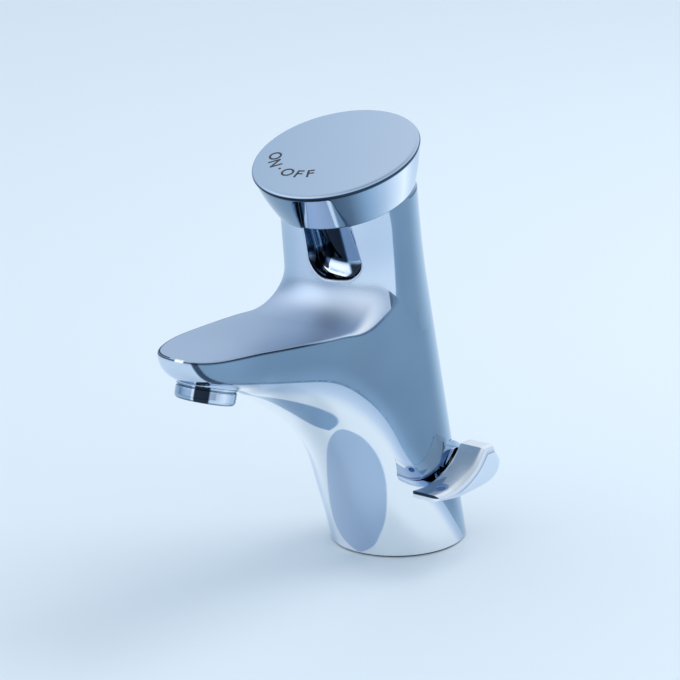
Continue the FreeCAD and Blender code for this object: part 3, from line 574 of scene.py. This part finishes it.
def cap_painted_light(points, normals):
    """Painted reflections: blue flank at the left, a dark corner beside the notch and a pale flank at the
    right, with painted dark lines at the rim and the foot and painted shade under the notch's top.
    """
    across, forth, depth = head_frame(*points.T)
    tone = np.interp(np.degrees(np.arctan2(across, -forth)), *CAP_PAINTED_TONES)
    rim = smooth_step(PLATE_THICKNESS + 0.9, PLATE_THICKNESS + 0.3, depth)
    foot = smooth_step(CAP_HEIGHT - 0.55, CAP_HEIGHT - 0.2, depth)
    turned, half = notch_frame(across, forth)[0], notch_half(depth)
    cone = CAP_TOP_RADIUS + (CAP_BOTTOM_RADIUS - CAP_TOP_RADIUS) * depth / CAP_HEIGHT
    sunk = smooth_step(0.1, 0.5, cone - np.hypot(across, forth)) * (forth < 0)
    recess = smooth_step(0.25, -0.25, np.abs(turned) - half) * sunk
    panel = np.interp(turned / half, *PANEL_PAINTED_TONES)
    panel = panel * (1 - 0.95 * smooth_step(NOTCH_TOP + 1.6, NOTCH_TOP + 0.9, depth))
    tone = tone + (panel - tone) * recess
    return tone * (1 - 0.9 * rim) * (1 - 0.8 * foot)


# Painted reflection tone of the plate's top and of its painted dark edge, then the rounding of its rim and
# foot
PLATE_TONE, PLATE_EDGE_TONE, PLATE_ROLL, PLATE_FOOT = 0.63, 0.03, 1.6, 0.3


def plate_painted_light(points, normals):
    """Painted reflection on the brushed top, a little deeper towards the left, with a painted dark edge."""
    across, forth, depth = head_frame(*points.T)
    edge = smooth_step(CAP_TOP_RADIUS - 0.35, CAP_TOP_RADIUS - 0.1, np.hypot(across, forth))
    return PLATE_TONE + 0.0022 * across + 0.0012 * forth - (PLATE_TONE - PLATE_EDGE_TONE) * edge


def plate_field(x, y, z):
    """Flat plate on the cap, with a rounded rim."""
    across, forth, depth = head_frame(x, y, z)
    side = soft_max(np.hypot(across, forth) - CAP_TOP_RADIUS, -depth, PLATE_ROLL)
    return soft_max(side, depth - PLATE_THICKNESS, PLATE_FOOT)


LEVER_INNER, LEVER_OUTER, LEVER_CROWN, LEVER_EDGE = 27.2, 40.2, 4.0, 1.4
LEVER_UNDER = ((-26.8, 28.7), (-14.0, 26.4), (0.0, 26.3), (8.6, 27.4), (12.6, 30.6), (13.6, 34.6))
LEVER_OVER = ((3.4, 41.2), (-1.6, 36.4), (-8.0, 33.0), (-14.0, 31.3), (-20.0, 30.7), (-26.8, 31.4))
LEVER_HEEL = (9.4, 41.0)
INDEX_X, INDEX_Y, INDEX_RADIUS, INDEX_FROM, INDEX_GAP = 33.9, -17.9, 1.7, 28.5, 0.05
SOCKET_RADIUS, SOCKET_DEPTH, SOCKET_EDGE, GRUB_RADIUS, GRUB_FROM = 3.55, 8.05, 0.4, 2.05, 4.0


def smooth_line(points, count):
    """Evenly spread points along a natural spline through the given ones."""
    points = np.array(points)
    along = np.concatenate([[0], np.cumsum(np.sqrt(np.linalg.norm(np.diff(points, axis=0), axis=1)))])
    at = np.linspace(0, along[-1], count)
    return np.stack([spline_through(along, points[:, 0])(at), spline_through(along, points[:, 1])(at)], 1)


LEVER_SIDE = np.concatenate([smooth_line(LEVER_UNDER, 40), [LEVER_HEEL], smooth_line(LEVER_OVER, 40)])


def outline_distance(y, z, corners):
    """Signed distance to a closed outline in side view, negative inside."""
    nearest = np.full(np.shape(y), np.inf)
    inside = np.zeros(np.shape(y), bool)
    for (ay, az), (by, bz) in zip(corners, np.roll(corners, -1, axis=0)):
        wy, wz = y - ay, z - az
        ey, ez = by - ay, bz - az
        t = np.clip((wy * ey + wz * ez) / max(ey * ey + ez * ez, 1e-12), 0, 1)
        nearest = np.minimum(nearest, (wy - t * ey) ** 2 + (wz - t * ez) ** 2)
        if ez != 0:
            inside ^= ((az > z) != (bz > z)) & (y < ey * (z - az) / ez + ay)
    return np.where(inside, -1, 1) * np.sqrt(nearest)


def lever_field(x, y, z):
    """Curved paddle of the lever, with a wide bevel on its outer edge and sockets for spindle and plug."""
    side = outline_distance(y, z, LEVER_SIDE)
    paddle = soft_max(soft_max(side, x - LEVER_OUTER, LEVER_CROWN), LEVER_INNER - x, LEVER_EDGE)
    spindle = np.maximum(np.hypot(y - MIXER_Y, z - MIXER_Z) - SOCKET_RADIUS, x - LEVER_INNER - SOCKET_DEPTH)
    grub = np.maximum(np.hypot(x - LEVER_INNER - GRUB_FROM, y - MIXER_Y) - GRUB_RADIUS, z - MIXER_Z)
    plug = np.maximum(np.hypot(x - INDEX_X, y - INDEX_Y) - INDEX_RADIUS - INDEX_GAP, INDEX_FROM - z)
    return np.maximum(np.maximum(soft_max(paddle, -spindle, SOCKET_EDGE), -grub), -plug)


# Half width of the point of the painted reflection's drop along the lever
DROP_HALF = (-27.0, -20.0, -10.0), (6.0, 4.2, 0.2)


def lever_painted_light(points, normals):
    """Painted reflections: pale upper face with a deeper drop around the index, pale bevel and side, and a
    tip painted dark above and pale below.
    """
    x, y, z = points.T
    upward = smooth_step(0.35, 0.8, normals[:, 2]) * smooth_step(LEVER_OUTER - 1.4, LEVER_OUTER - 2.0, x)
    tone = 0.88 + 0.12 * upward
    drop = np.hypot(x - INDEX_X + 0.6, (y - INDEX_Y) * 0.9) - 3.4
    point = np.abs(x - 29.6 - 0.12 * (y + 20.0)) - np.interp(y, *DROP_HALF)
    tone = tone - 0.40 * upward * smooth_step(0.4, -0.4, np.minimum(drop, np.where(y < -10.0, point, 9.0)))
    tip = smooth_step(-0.5, -0.8, normals[:, 1]) * smooth_step(-25.0, -26.0, y)
    return tone * (1 - tip) + tip * np.where(z > 30.1, 0.04, 0.98)


def lever_rough(points, normals):
    """Softer polish on the upper face."""
    return 0.04 + 0.30 * smooth_step(0.35, 0.8, normals[:, 2])


def front_share(points, normals):
    """One on the front of the neck, its flare and the spout's top, and zero past the line of the flanks."""
    x, y, z = points.T
    bearing = normals[:, 1] / np.maximum(np.hypot(normals[:, 0], normals[:, 1]), 1e-3)
    corner = smooth_step(112.0, 107.0, z) * smooth_step(-32.5, -36.5, y)
    level = np.minimum(smooth_step(0.45, 0.8, normals[:, 2]) + corner, 1)
    neck = (bearing + 0.27) * 25.0 * (1 - level) - 20.0 * level
    wall = fan_field(x, y, z) - top_field(x, y, z)
    wall = wall - 1.5 * smooth_step(-64.0, -44.0, y) - 25.0 * smooth_step(108.0, 122.0, z)
    return smooth_step(0.3, -0.3, soft_max(neck, wall, 2.0)) * smooth_step(90.0, 94.0, z)


def body_rough(points, normals):
    """Softer polish on the front of the neck and the top of the spout than on the flanks."""
    front = front_share(points, normals)
    sunk = smooth_step(-0.3, -0.8, body_field(*points.T))
    return 0.035 + (0.20 + 0.26 * smooth_step(0.0, 1.0, normals[:, 2])) * front * (1 - sunk)


# Lower line of the flanks' painted reflection in side view, and the outlines of the oval patch and the streak
# below it, both painted reflections
FLANK_Y = (-130.0, -121.0, -113.7, -98.0, -80.8, -63.6, -45.8, -29.2, -24.1, -10.0, 0.0, 15.0, 30.0)
FLANK_Z = (97.5, 95.5, 93.6, 90.4, 87.0, 82.4, 71.6, 52.8, 44.0, 26.0, 12.5, -5.0, -21.0)
flank_line = spline_through(FLANK_Y, FLANK_Z)
PATCH_Z = (-2.0, 3.0, 8.4, 15.0, 22.7, 37.5, 51.5, 58.0, 62.0)
patch_left = spline_through(PATCH_Z, (8.0, -2.5, -7.0, -7.6, -6.0, -1.6, 6.2, 11.5, 16.0))
patch_right = spline_through(PATCH_Z, (-6.0, 5.5, 10.5, 13.8, 16.0, 17.6, 16.7, 14.8, 12.0))
STREAK_Z = (58.0, 61.0, 64.0, 70.0, 77.0, 83.0)
streak_middle = spline_through(STREAK_Z, (10.5, 10.6, 10.8, 10.6, 9.2, 5.0))
streak_half = spline_through(STREAK_Z, (-2.0, 2.2, 4.0, 4.4, 3.8, 2.0))
# Painted reflection levels of the flanks, the patch, the streak, the nose and the front, and the black of
# painted shade
FLANK_TONE, PATCH_TONE, STREAK_TONE, NOSE_TONE, FRONT_TONE, DARK = 0.305, 0.39, 0.46, 0.84, 0.68, 0.02
# Painted tones across the slot's wall, from its left to its right: a painted highlight strip at the left,
# painted shade in the middle and painted reflection at the right
SLOT_PAINTED_TONES = ((-9.0, -7.2, -6.6, -5.4, -4.8, -3.2, -2.0, 4.4, 5.2, 6.0, 9.0),
              (0.30, 0.30, 1.0, 1.0, 0.25, 0.18, DARK, DARK, 0.45, 0.52, 0.60))


def lower_painted_reflection(x, y, z, nx, nz, drop):
    """Painted reflections on the front below the flanks' line: pale, with the oval patch and the streak."""
    tone = 1.0 - 0.30 * smooth_step(-9.0, 0.0, drop) * smooth_step(0.3, 0.75, nx)
    tone = tone - 0.28 * smooth_step(-0.30, -0.60, nx) + 0.22 * smooth_step(-0.68, -0.80, nx)
    patch = np.maximum(soft_max(patch_left(z) - x, x - patch_right(z), 3.0), 40.0 * (y > -20.0))
    tone = tone + (PATCH_TONE - 0.008 * (x - 3.0) - tone) * smooth_step(0.5, -0.5, patch)
    streak = np.abs(x - streak_middle(z)) - streak_half(z)
    streak = smooth_step(0.4, -0.4, streak) * smooth_step(-0.45, -0.55, nz)
    return tone + (STREAK_TONE - tone) * streak


def upper_painted_reflection(x, y, z, nx, nz):
    """Painted reflections on the front of the neck, its flare and the top of the spout."""
    flare = smooth_step(-38.0, -50.0, y) * smooth_step(-80.0, -55.0, y)
    tone = FRONT_TONE - 0.25 * smooth_step(0.1, -0.75, nx) * smooth_step(0.8, 0.3, nz)
    tone = tone + 0.08 * smooth_step(0.3, 0.8, nx)
    tone = tone + 0.10 * smooth_step(126.0, 114.0, z) * smooth_step(0.3, 0.8, nx)
    tone = tone + 0.10 * flare * smooth_step(0.95, 0.6, nz)
    return tone - 0.05 * smooth_step(8.0, 20.0, x) * smooth_step(0.8, 0.95, nz)


def painted_edge_lines(x, y, z, nz):
    """Painted dark reflection lines along the spout's edges, and the small painted glint at its tip."""
    rim = np.abs(fan_field(x, y, z) - top_field(x, y, z))
    outer = smooth_step(3.0, 1.5, spout_half_width(y) - np.abs(x))
    outer = np.minimum(outer + (y < -112.0) * smooth_step(4.0, 2.0, above_top(x, y, z)), 1)
    near = smooth_step(0.9, 0.4, rim) * smooth_step(-66.0, -84.0, y) * outer
    near = near * smooth_step(-0.1, 0.25, nz) * smooth_step(0.9, 0.6, nz)
    far = smooth_step(2.2, 1.6, rim) * smooth_step(0.99, 0.97, nz) * smooth_step(0.78, 0.86, nz) * (x < -3.0)
    glint = smooth_step(2.2, 1.6, np.abs(x - 1.5)) * smooth_step(1.3, 0.8, rim) * (y < -118.0)
    return np.maximum(near, far * smooth_step(-50.0, -58.0, y) * outer), glint


def body_painted_light(points, normals):
    """Painted reflections on the chrome from 0, deep blue, to 1, pale: flanks and rear are painted deeper
    than the front, and the slot gets painted shade and highlights.
    """
    x, y, z = points.T
    nx, ny, nz = normals.T
    drop = z - flank_line(y)
    flank = FLANK_TONE + 0.06 * smooth_step(-0.15, -0.35, ny) + 0.18 * smooth_step(0.05, 0.5, ny)
    flank = flank + 0.07 * smooth_step(8.0, 0.0, drop) * smooth_step(-118.0, -60.0, y)
    lower = lower_painted_reflection(x, y, z, nx, nz, drop)
    tone = lower + (flank - lower) * smooth_step(-0.25, 0.25, drop)
    # Painted dark reflection line along the flanks' lower line
    tone = tone * (1 - 0.45 * smooth_step(0.55, 0.2, np.abs(drop)) * smooth_step(-20.0, -50.0, y))
    # Painted pale reflection on the nose, with a painted dark band beside it
    band = x - 6.9 - 0.45 * (103.0 - z)
    nose = smooth_step(0.8, -0.8, band) * smooth_step(-111.0, -114.0, y)
    tone = tone + (NOSE_TONE - 0.1 * smooth_step(97.0, 92.0, z) - tone) * nose
    tone = tone * (1 - 0.8 * smooth_step(1.5, 0.8, np.abs(band - 0.6)) * smooth_step(-112.0, -115.0, y))
    tone = tone + (upper_painted_reflection(x, y, z, nx, nz) - tone) * front_share(points, normals)
    line, glint = painted_edge_lines(x, y, z, nz)
    tone = tone * (1 - 0.97 * line)
    tone = tone + (1.0 - tone) * glint
    # The slot: painted shade in its middle, a painted highlight strip at its left and a painted pale
    # reflection on the ledge
    turned = notch_frame(*head_frame(x, y, z)[:2])[0]
    outside = body_field(x, y, z)
    inside = smooth_step(0.5, -0.2, scoop_field(x, y, z) - 0.4) * smooth_step(-0.3, -0.8, outside)
    slot = np.interp(turned, *SLOT_PAINTED_TONES)
    pale = smooth_step(-6.6, -5.4, 0.5 * (outside + 3.0) - np.abs(turned + 0.2))
    ledge = DARK + 0.90 * pale * smooth_step(-1.8, -2.3, outside)
    slot = slot + (ledge - slot) * smooth_step(0.15, 0.4, nz)
    return tone + (slot - tone) * inside


def material_tree(look):
    """The node tree of a material and its main shader."""
    look.use_nodes = True
    return look.node_tree, look.node_tree.nodes["Principled BSDF"]


def noise_of(tree, scale, detail=2.0):
    """Noise that is fixed to the object."""
    place = tree.nodes.new("ShaderNodeTexCoord")
    noise = tree.nodes.new("ShaderNodeTexNoise")
    noise.inputs["Scale"].default_value = scale
    noise.inputs["Detail"].default_value = detail
    tree.links.new(place.outputs["Object"], noise.inputs["Vector"])
    return noise


def varied(tree, noise, socket, low, high):
    """Socket that goes from low to high with the noise."""
    spread = tree.nodes.new("ShaderNodeMapRange")
    spread.inputs["To Min"].default_value = low
    spread.inputs["To Max"].default_value = high
    tree.links.new(noise.outputs["Fac"], spread.inputs["Value"])
    tree.links.new(spread.outputs["Result"], socket)


def material(name, dark, light, metallic, rough, scale, bump=0.02):
    """Plain material whose colour, roughness and surface vary a little with noise."""
    made = bpy.data.materials.new(name)
    tree, shader = material_tree(made)
    shader.inputs["Metallic"].default_value = metallic
    noise = noise_of(tree, scale, 3.0)
    varied(tree, noise, shader.inputs["Roughness"], *rough)
    grain = tree.nodes.new("ShaderNodeBump")
    grain.inputs["Strength"].default_value = bump
    grain.inputs["Distance"].default_value = GRAIN_HEIGHT
    ramp = tree.nodes.new("ShaderNodeValToRGB")
    for element, position, colour in zip(ramp.color_ramp.elements, (0.3, 0.7), (dark, light)):
        element.position, element.color = position, colour + (1,)
    tree.links.new(noise.outputs["Fac"], grain.inputs["Height"])
    tree.links.new(grain.outputs["Normal"], shader.inputs["Normal"])
    tree.links.new(noise.outputs["Fac"], ramp.inputs["Fac"])
    tree.links.new(ramp.outputs["Color"], shader.inputs["Base Color"])
    return made


GRAIN_HEIGHT, CLOUD_SCALE, CLOUD_TONE, WEAR = 0.0002, 40.0, 0.02, (0.8, 1.25)
# Colours of the chrome for each point's painted reflection and shade, from painted black at 0 to painted
# white at 1
CHROME_COLOURS = ((0.0, (0.01, 0.013, 0.02)), (1.0, (0.98, 0.99, 1.0)), (0.20, (0.10, 0.16, 0.24)),
                  (0.45, (0.30, 0.44, 0.60)), (0.70, (0.52, 0.62, 0.77)), (0.85, (0.68, 0.76, 0.88)))


def chrome_with_painted_light(name, rough=None):
    """Polished chrome whose colour follows the painted reflection and shade of each point, with faint
    cloudiness.

    Without a range, the roughness follows the value of each point too.
    """
    made = bpy.data.materials.new(name)
    tree, shader = material_tree(made)
    shader.inputs["Metallic"].default_value = 1.0
    noise = noise_of(tree, CLOUD_SCALE)
    if rough:
        varied(tree, noise, shader.inputs["Roughness"], *rough)
    else:
        by_point = tree.nodes.new("ShaderNodeAttribute")
        by_point.attribute_name = "rough"
        wear = tree.nodes.new("ShaderNodeMath")
        wear.operation = "MULTIPLY"
        tree.links.new(by_point.outputs["Fac"], wear.inputs[0])
        varied(tree, noise, wear.inputs[1], *WEAR)
        tree.links.new(wear.outputs["Value"], shader.inputs["Roughness"])
    # Painted reflection and shade of each point, from the mesh's attribute
    tone = tree.nodes.new("ShaderNodeAttribute")
    tone.attribute_name = "tone"
    total = tree.nodes.new("ShaderNodeMath")
    ramp = tree.nodes.new("ShaderNodeValToRGB")
    elements = ramp.color_ramp.elements
    elements[0].color, elements[1].color = CHROME_COLOURS[0][1] + (1,), CHROME_COLOURS[1][1] + (1,)
    for position, colour in CHROME_COLOURS[2:]:
        elements.new(position).color = colour + (1,)
    tree.links.new(tone.outputs["Fac"], total.inputs[0])
    varied(tree, noise, total.inputs[1], -CLOUD_TONE, CLOUD_TONE)
    tree.links.new(total.outputs["Value"], ramp.inputs["Fac"])
    tree.links.new(ramp.outputs["Color"], shader.inputs["Base Color"])
    return made


body_chrome = chrome_with_painted_light("body_chrome")
cap_chrome = chrome_with_painted_light("cap_chrome", (0.03, 0.06))
plate_satin = chrome_with_painted_light("plate_satin", (0.20, 0.26))
chrome = material("chrome", (0.50, 0.60, 0.72), (0.54, 0.64, 0.76), 1.0, (0.02, 0.05), 30.0, 0.0)
steel = material("steel", (0.55, 0.56, 0.58), (0.64, 0.65, 0.67), 1.0, (0.25, 0.4), 900.0)
brass = material("brass", (0.62, 0.44, 0.18), (0.78, 0.58, 0.28), 1.0, (0.22, 0.35), 700.0)
white_plastic = material("white_plastic", (0.72, 0.72, 0.7), (0.8, 0.8, 0.78), 0.0, (0.38, 0.5), 1500.0, 0.1)
grey_plastic = material("grey_plastic", (0.17, 0.18, 0.20), (0.22, 0.23, 0.25), 0.0, (0.38, 0.5), 1500.0, 0.1)
blue_plastic = material("blue_plastic", (0.004, 0.075, 0.27), (0.006, 0.100, 0.34), 0.0, (0.35, 0.45), 900.0)
rubber = material("rubber", (0.016, 0.016, 0.018), (0.03, 0.03, 0.032), 0.0, (0.6, 0.75), 2200.0, 0.2)
ink = material("ink", (0.008, 0.012, 0.02), (0.02, 0.026, 0.036), 0.0, (0.4, 0.6), 800.0)

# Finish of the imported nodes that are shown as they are
FINISH = (
    (chrome, "mixer_gland"),
    (blue_plastic, "index_plug"),
    (steel, "cap_screw push_spindle return_spring lever_grub_screw inlet_filters horseshoe_plate"),
    (brass, "cartridge_nut spindle_bush mixer_spindle fixing_nut"),
    (white_plastic, "timing_piston cartridge_housing mixer_sleeve"),
    (grey_plastic, "aerator_insert mixer_drum check_valves"),
    (rubber, "piston_seal cartridge_o_rings aerator_gasket mixer_ring base_gasket horseshoe_seal"),
)
for finish, nodes in FINISH:
    for node in nodes.split():
        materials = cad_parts[node].data.materials
        materials.clear()
        materials.append(finish)

CELL = 1.0


def dressed(name, node, body, slot, field, low, high, cell, finish, **looks):
    """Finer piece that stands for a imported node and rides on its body."""
    piece = net_object(name, field, low, high, cell, **looks)
    piece.data.materials.append(finish)
    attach(piece, body)
    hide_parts(node)


dressed("body_casting", "tap_body", "root", "chrome_body", tap_field, (-27.6, -126.6, -0.2),
        (27.6, 28.4, 162.0), CELL, body_chrome, rounds=4, tone=body_painted_light, rough=body_rough)
dressed("cap_skirt", "push_cap", "cap", "chrome_cap", cap_field, (-33.0, -70.0, 130.0), (33.0, 2.0, 168.5),
        0.5 * CELL, cap_chrome, tone=cap_painted_light)
dressed("cap_disc", "cap_plate", "cap", "cap_plate", plate_field, (-33.0, -66.0, 145.0), (33.0, 2.0, 170.0),
        0.7 * CELL, plate_satin, tone=plate_painted_light)
dressed("lever_paddle", "temperature_lever", "lever", "chrome_lever", lever_field, (26.6, -28.0, 25.0),
        (41.0, 15.0, 43.0), 0.5 * CELL, body_chrome, tone=lever_painted_light, rough=lever_rough)
dressed("aerator_ring", "aerator_housing", "root", "chrome_aerator", aerator_field, (-12.0, -123.0, 79.0),
        (12.0, -96.0, 97.0), 0.5 * CELL, cap_chrome, tone=aerator_painted_light)
dressed("stud_thread", "fixing_stud", "root", "steel", stud_field, (-4.6, 8.4, -44.6), (4.6, 17.6, 17.6),
        0.45 * CELL, steel, rounds=1)

# The return spring, copied as it stands; the real one shortens between its fixed low end and the piston
coil_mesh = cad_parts["return_spring"].data.copy()
coil_mesh.transform(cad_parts["return_spring"].matrix_world)
return_coil = bpy.data.objects.new("return_coil", coil_mesh)
bpy.context.scene.collection.objects.link(return_coil)
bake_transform(return_coil)
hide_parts("return_spring")

# Legend on the cap: letters with their bearings around the ink's centre
LEGEND = (("O", -63.0), ("N", -43.0), ("\u00b7", -25.0), ("O", -7.0), ("F", 11.0), ("F", 27.0))
INK_CENTRE, INK_RADIUS, INK_SIZE = (-7.4, -1.2), 18.2, 6.8
INK_WEIGHT, INK_THICKNESS, INK_LIFT = 0.09, 0.03, 0.01
for number, (letter, bearing) in enumerate(LEGEND):
    curve = bpy.data.curves.new("legend_curve", "FONT")
    curve.body = letter
    curve.size = INK_SIZE
    curve.align_x = "CENTER"
    curve.extrude = INK_THICKNESS
    curve.offset = INK_WEIGHT
    holder = bpy.data.objects.new("legend_curve", curve)
    mesh = bpy.data.meshes.new_from_object(holder)
    bpy.data.objects.remove(holder)
    turn = math.radians(bearing)
    for vertex in mesh.vertices:
        px, py, pz = vertex.co
        radial = INK_RADIUS - py
        across = INK_CENTRE[0] + radial * math.sin(turn) + px * math.cos(turn)
        forth = INK_CENTRE[1] - radial * math.cos(turn) + px * math.sin(turn)
        lift = pz + INK_LIFT
        vertex.co = (across * MM, (HEAD_Y + forth * HEAD_COS - lift * HEAD_SIN) * MM,
                     (HEAD_Z + forth * HEAD_SIN + lift * HEAD_COS) * MM)
    mesh.materials.append(ink)
    piece = bpy.data.objects.new(f"legend_{number}", mesh)
    bpy.context.scene.collection.objects.link(piece)
    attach(piece, "cap")

# Floor
FLOOR_HALF, FLOOR_COLOUR = 6, (0.74, 0.82, 0.88, 1)
floor_mesh = bpy.data.meshes.new("floor")
corners = [(x * FLOOR_HALF, y * FLOOR_HALF, 0) for x, y in ((-1, -1), (1, -1), (1, 1), (-1, 1))]
floor_mesh.from_pydata(corners, [], [(0, 1, 2, 3)])
floor = bpy.data.objects.new("floor", floor_mesh)
bpy.context.scene.collection.objects.link(floor)
floor_look = bpy.data.materials.new("floor")
shader = material_tree(floor_look)[1]
shader.inputs["Roughness"].default_value = 0.6
shader.inputs["Specular IOR Level"].default_value = 0.2
shader.inputs["Base Color"].default_value = FLOOR_COLOUR
floor.data.materials.append(floor_look)

# World: pale above, deeper towards the horizon and below, with a soft bright place at the front left.
# The colours go from straight down, at 0, to straight up, at 1.
SKY = ((0.0, (0.50, 0.60, 0.72)), (1.0, (0.50, 0.56, 0.64)), (0.485, (0.40, 0.48, 0.58)),
       (0.50, (0.42, 0.50, 0.60)), (0.52, (0.44, 0.53, 0.63)), (0.55, (0.50, 0.60, 0.72)),
       (0.62, (0.66, 0.78, 0.92)), (0.80, (0.92, 1.0, 1.08)))
SKY_STRENGTH, GLOW_TOWARDS, GLOW_FROM, GLOW_LEVEL = 0.95, (-0.55, -0.55, 0.62), 0.70, 0.4
world = bpy.data.worlds.new("world")
bpy.context.scene.world = world
world.use_nodes = True
tree = world.node_tree
background = tree.nodes["Background"]
place = tree.nodes.new("ShaderNodeTexCoord")
split = tree.nodes.new("ShaderNodeSeparateXYZ")
ramp = tree.nodes.new("ShaderNodeValToRGB")
elements = ramp.color_ramp.elements
elements[0].color, elements[1].color = SKY[0][1] + (1,), SKY[1][1] + (1,)
for position, colour in SKY[2:]:
    elements.new(position).color = colour + (1,)
half_up = tree.nodes.new("ShaderNodeMapRange")
half_up.inputs["From Min"].default_value = -1.0
towards = tree.nodes.new("ShaderNodeVectorMath")
towards.operation = "DOT_PRODUCT"
towards.inputs[1].default_value = Vector(GLOW_TOWARDS).normalized()
lobe = tree.nodes.new("ShaderNodeMapRange")
lobe.interpolation_type = "SMOOTHSTEP"
lobe.inputs["From Min"].default_value = GLOW_FROM
lobe.inputs["To Max"].default_value = GLOW_LEVEL
glow = tree.nodes.new("ShaderNodeMix")
glow.data_type = "RGBA"
glow.blend_type = "ADD"
glow.inputs["Factor"].default_value = 1.0
tree.links.new(place.outputs["Generated"], split.inputs["Vector"])
tree.links.new(place.outputs["Generated"], towards.inputs[0])
tree.links.new(towards.outputs["Value"], lobe.inputs["Value"])
tree.links.new(split.outputs["Z"], half_up.inputs["Value"])
tree.links.new(half_up.outputs["Result"], ramp.inputs["Fac"])
tree.links.new(ramp.outputs["Color"], glow.inputs[6])
tree.links.new(lobe.outputs["Result"], glow.inputs[7])
tree.links.new(glow.outputs[2], background.inputs["Color"])
background.inputs["Strength"].default_value = SKY_STRENGTH

# One soft lamp, behind and above
LAMP_PLACE, LAMP_AIM, LAMP_SIZE, LAMP_POWER = Vector((0.35, 0.60, 1.15)), Vector((0.0, -0.1, 0.0)), 0.9, 6.2
light = bpy.data.lights.new("key", "AREA")
light.shape = "DISK"
light.size = LAMP_SIZE
light.energy = LAMP_POWER
light.color = (1.0, 0.98, 0.94)
lamp = bpy.data.objects.new("key", light)
lamp.location = LAMP_PLACE
lamp.rotation_euler = (LAMP_AIM - LAMP_PLACE).to_track_quat("-Z", "Y").to_euler()
lamp.visible_glossy = False
bpy.context.scene.collection.objects.link(lamp)

# Camera at the photograph's angle: it stands on a line from the target and looks a little beside it
AZIMUTH, ELEVATION, ROLL, DISTANCE = math.radians(38.54), math.radians(17.73), math.radians(-1.49), 1.2
TARGET, AIM_ACROSS, AIM_UP, LENS, SENSOR = Vector((0, -0.030, 0.080)), -0.00194, 0.00557, 171.4, 36.0
back = Vector((math.sin(AZIMUTH) * math.cos(ELEVATION), -math.cos(AZIMUTH) * math.cos(ELEVATION),
               math.sin(ELEVATION)))
right = Vector((math.cos(AZIMUTH), math.sin(AZIMUTH), 0))
up = back.cross(right)
rolled_right = math.cos(ROLL) * right + math.sin(ROLL) * up
rolled_up = -math.sin(ROLL) * right + math.cos(ROLL) * up
eye = TARGET + back * DISTANCE
depth_way = (eye - (TARGET + AIM_ACROSS * rolled_right + AIM_UP * rolled_up)).normalized()
side_way = rolled_up.cross(depth_way).normalized()
top_way = depth_way.cross(side_way)
camera = bpy.data.objects.new("camera", bpy.data.cameras.new("camera"))
camera.data.lens = LENS
camera.data.sensor_width = SENSOR
rows = [(side_way[i], top_way[i], depth_way[i], eye[i]) for i in range(3)]
camera.matrix_world = Matrix(rows + [(0, 0, 0, 1)])
bpy.context.scene.collection.objects.link(camera)
bpy.context.scene.camera = camera
bpy.context.scene.view_settings.view_transform = "Standard"
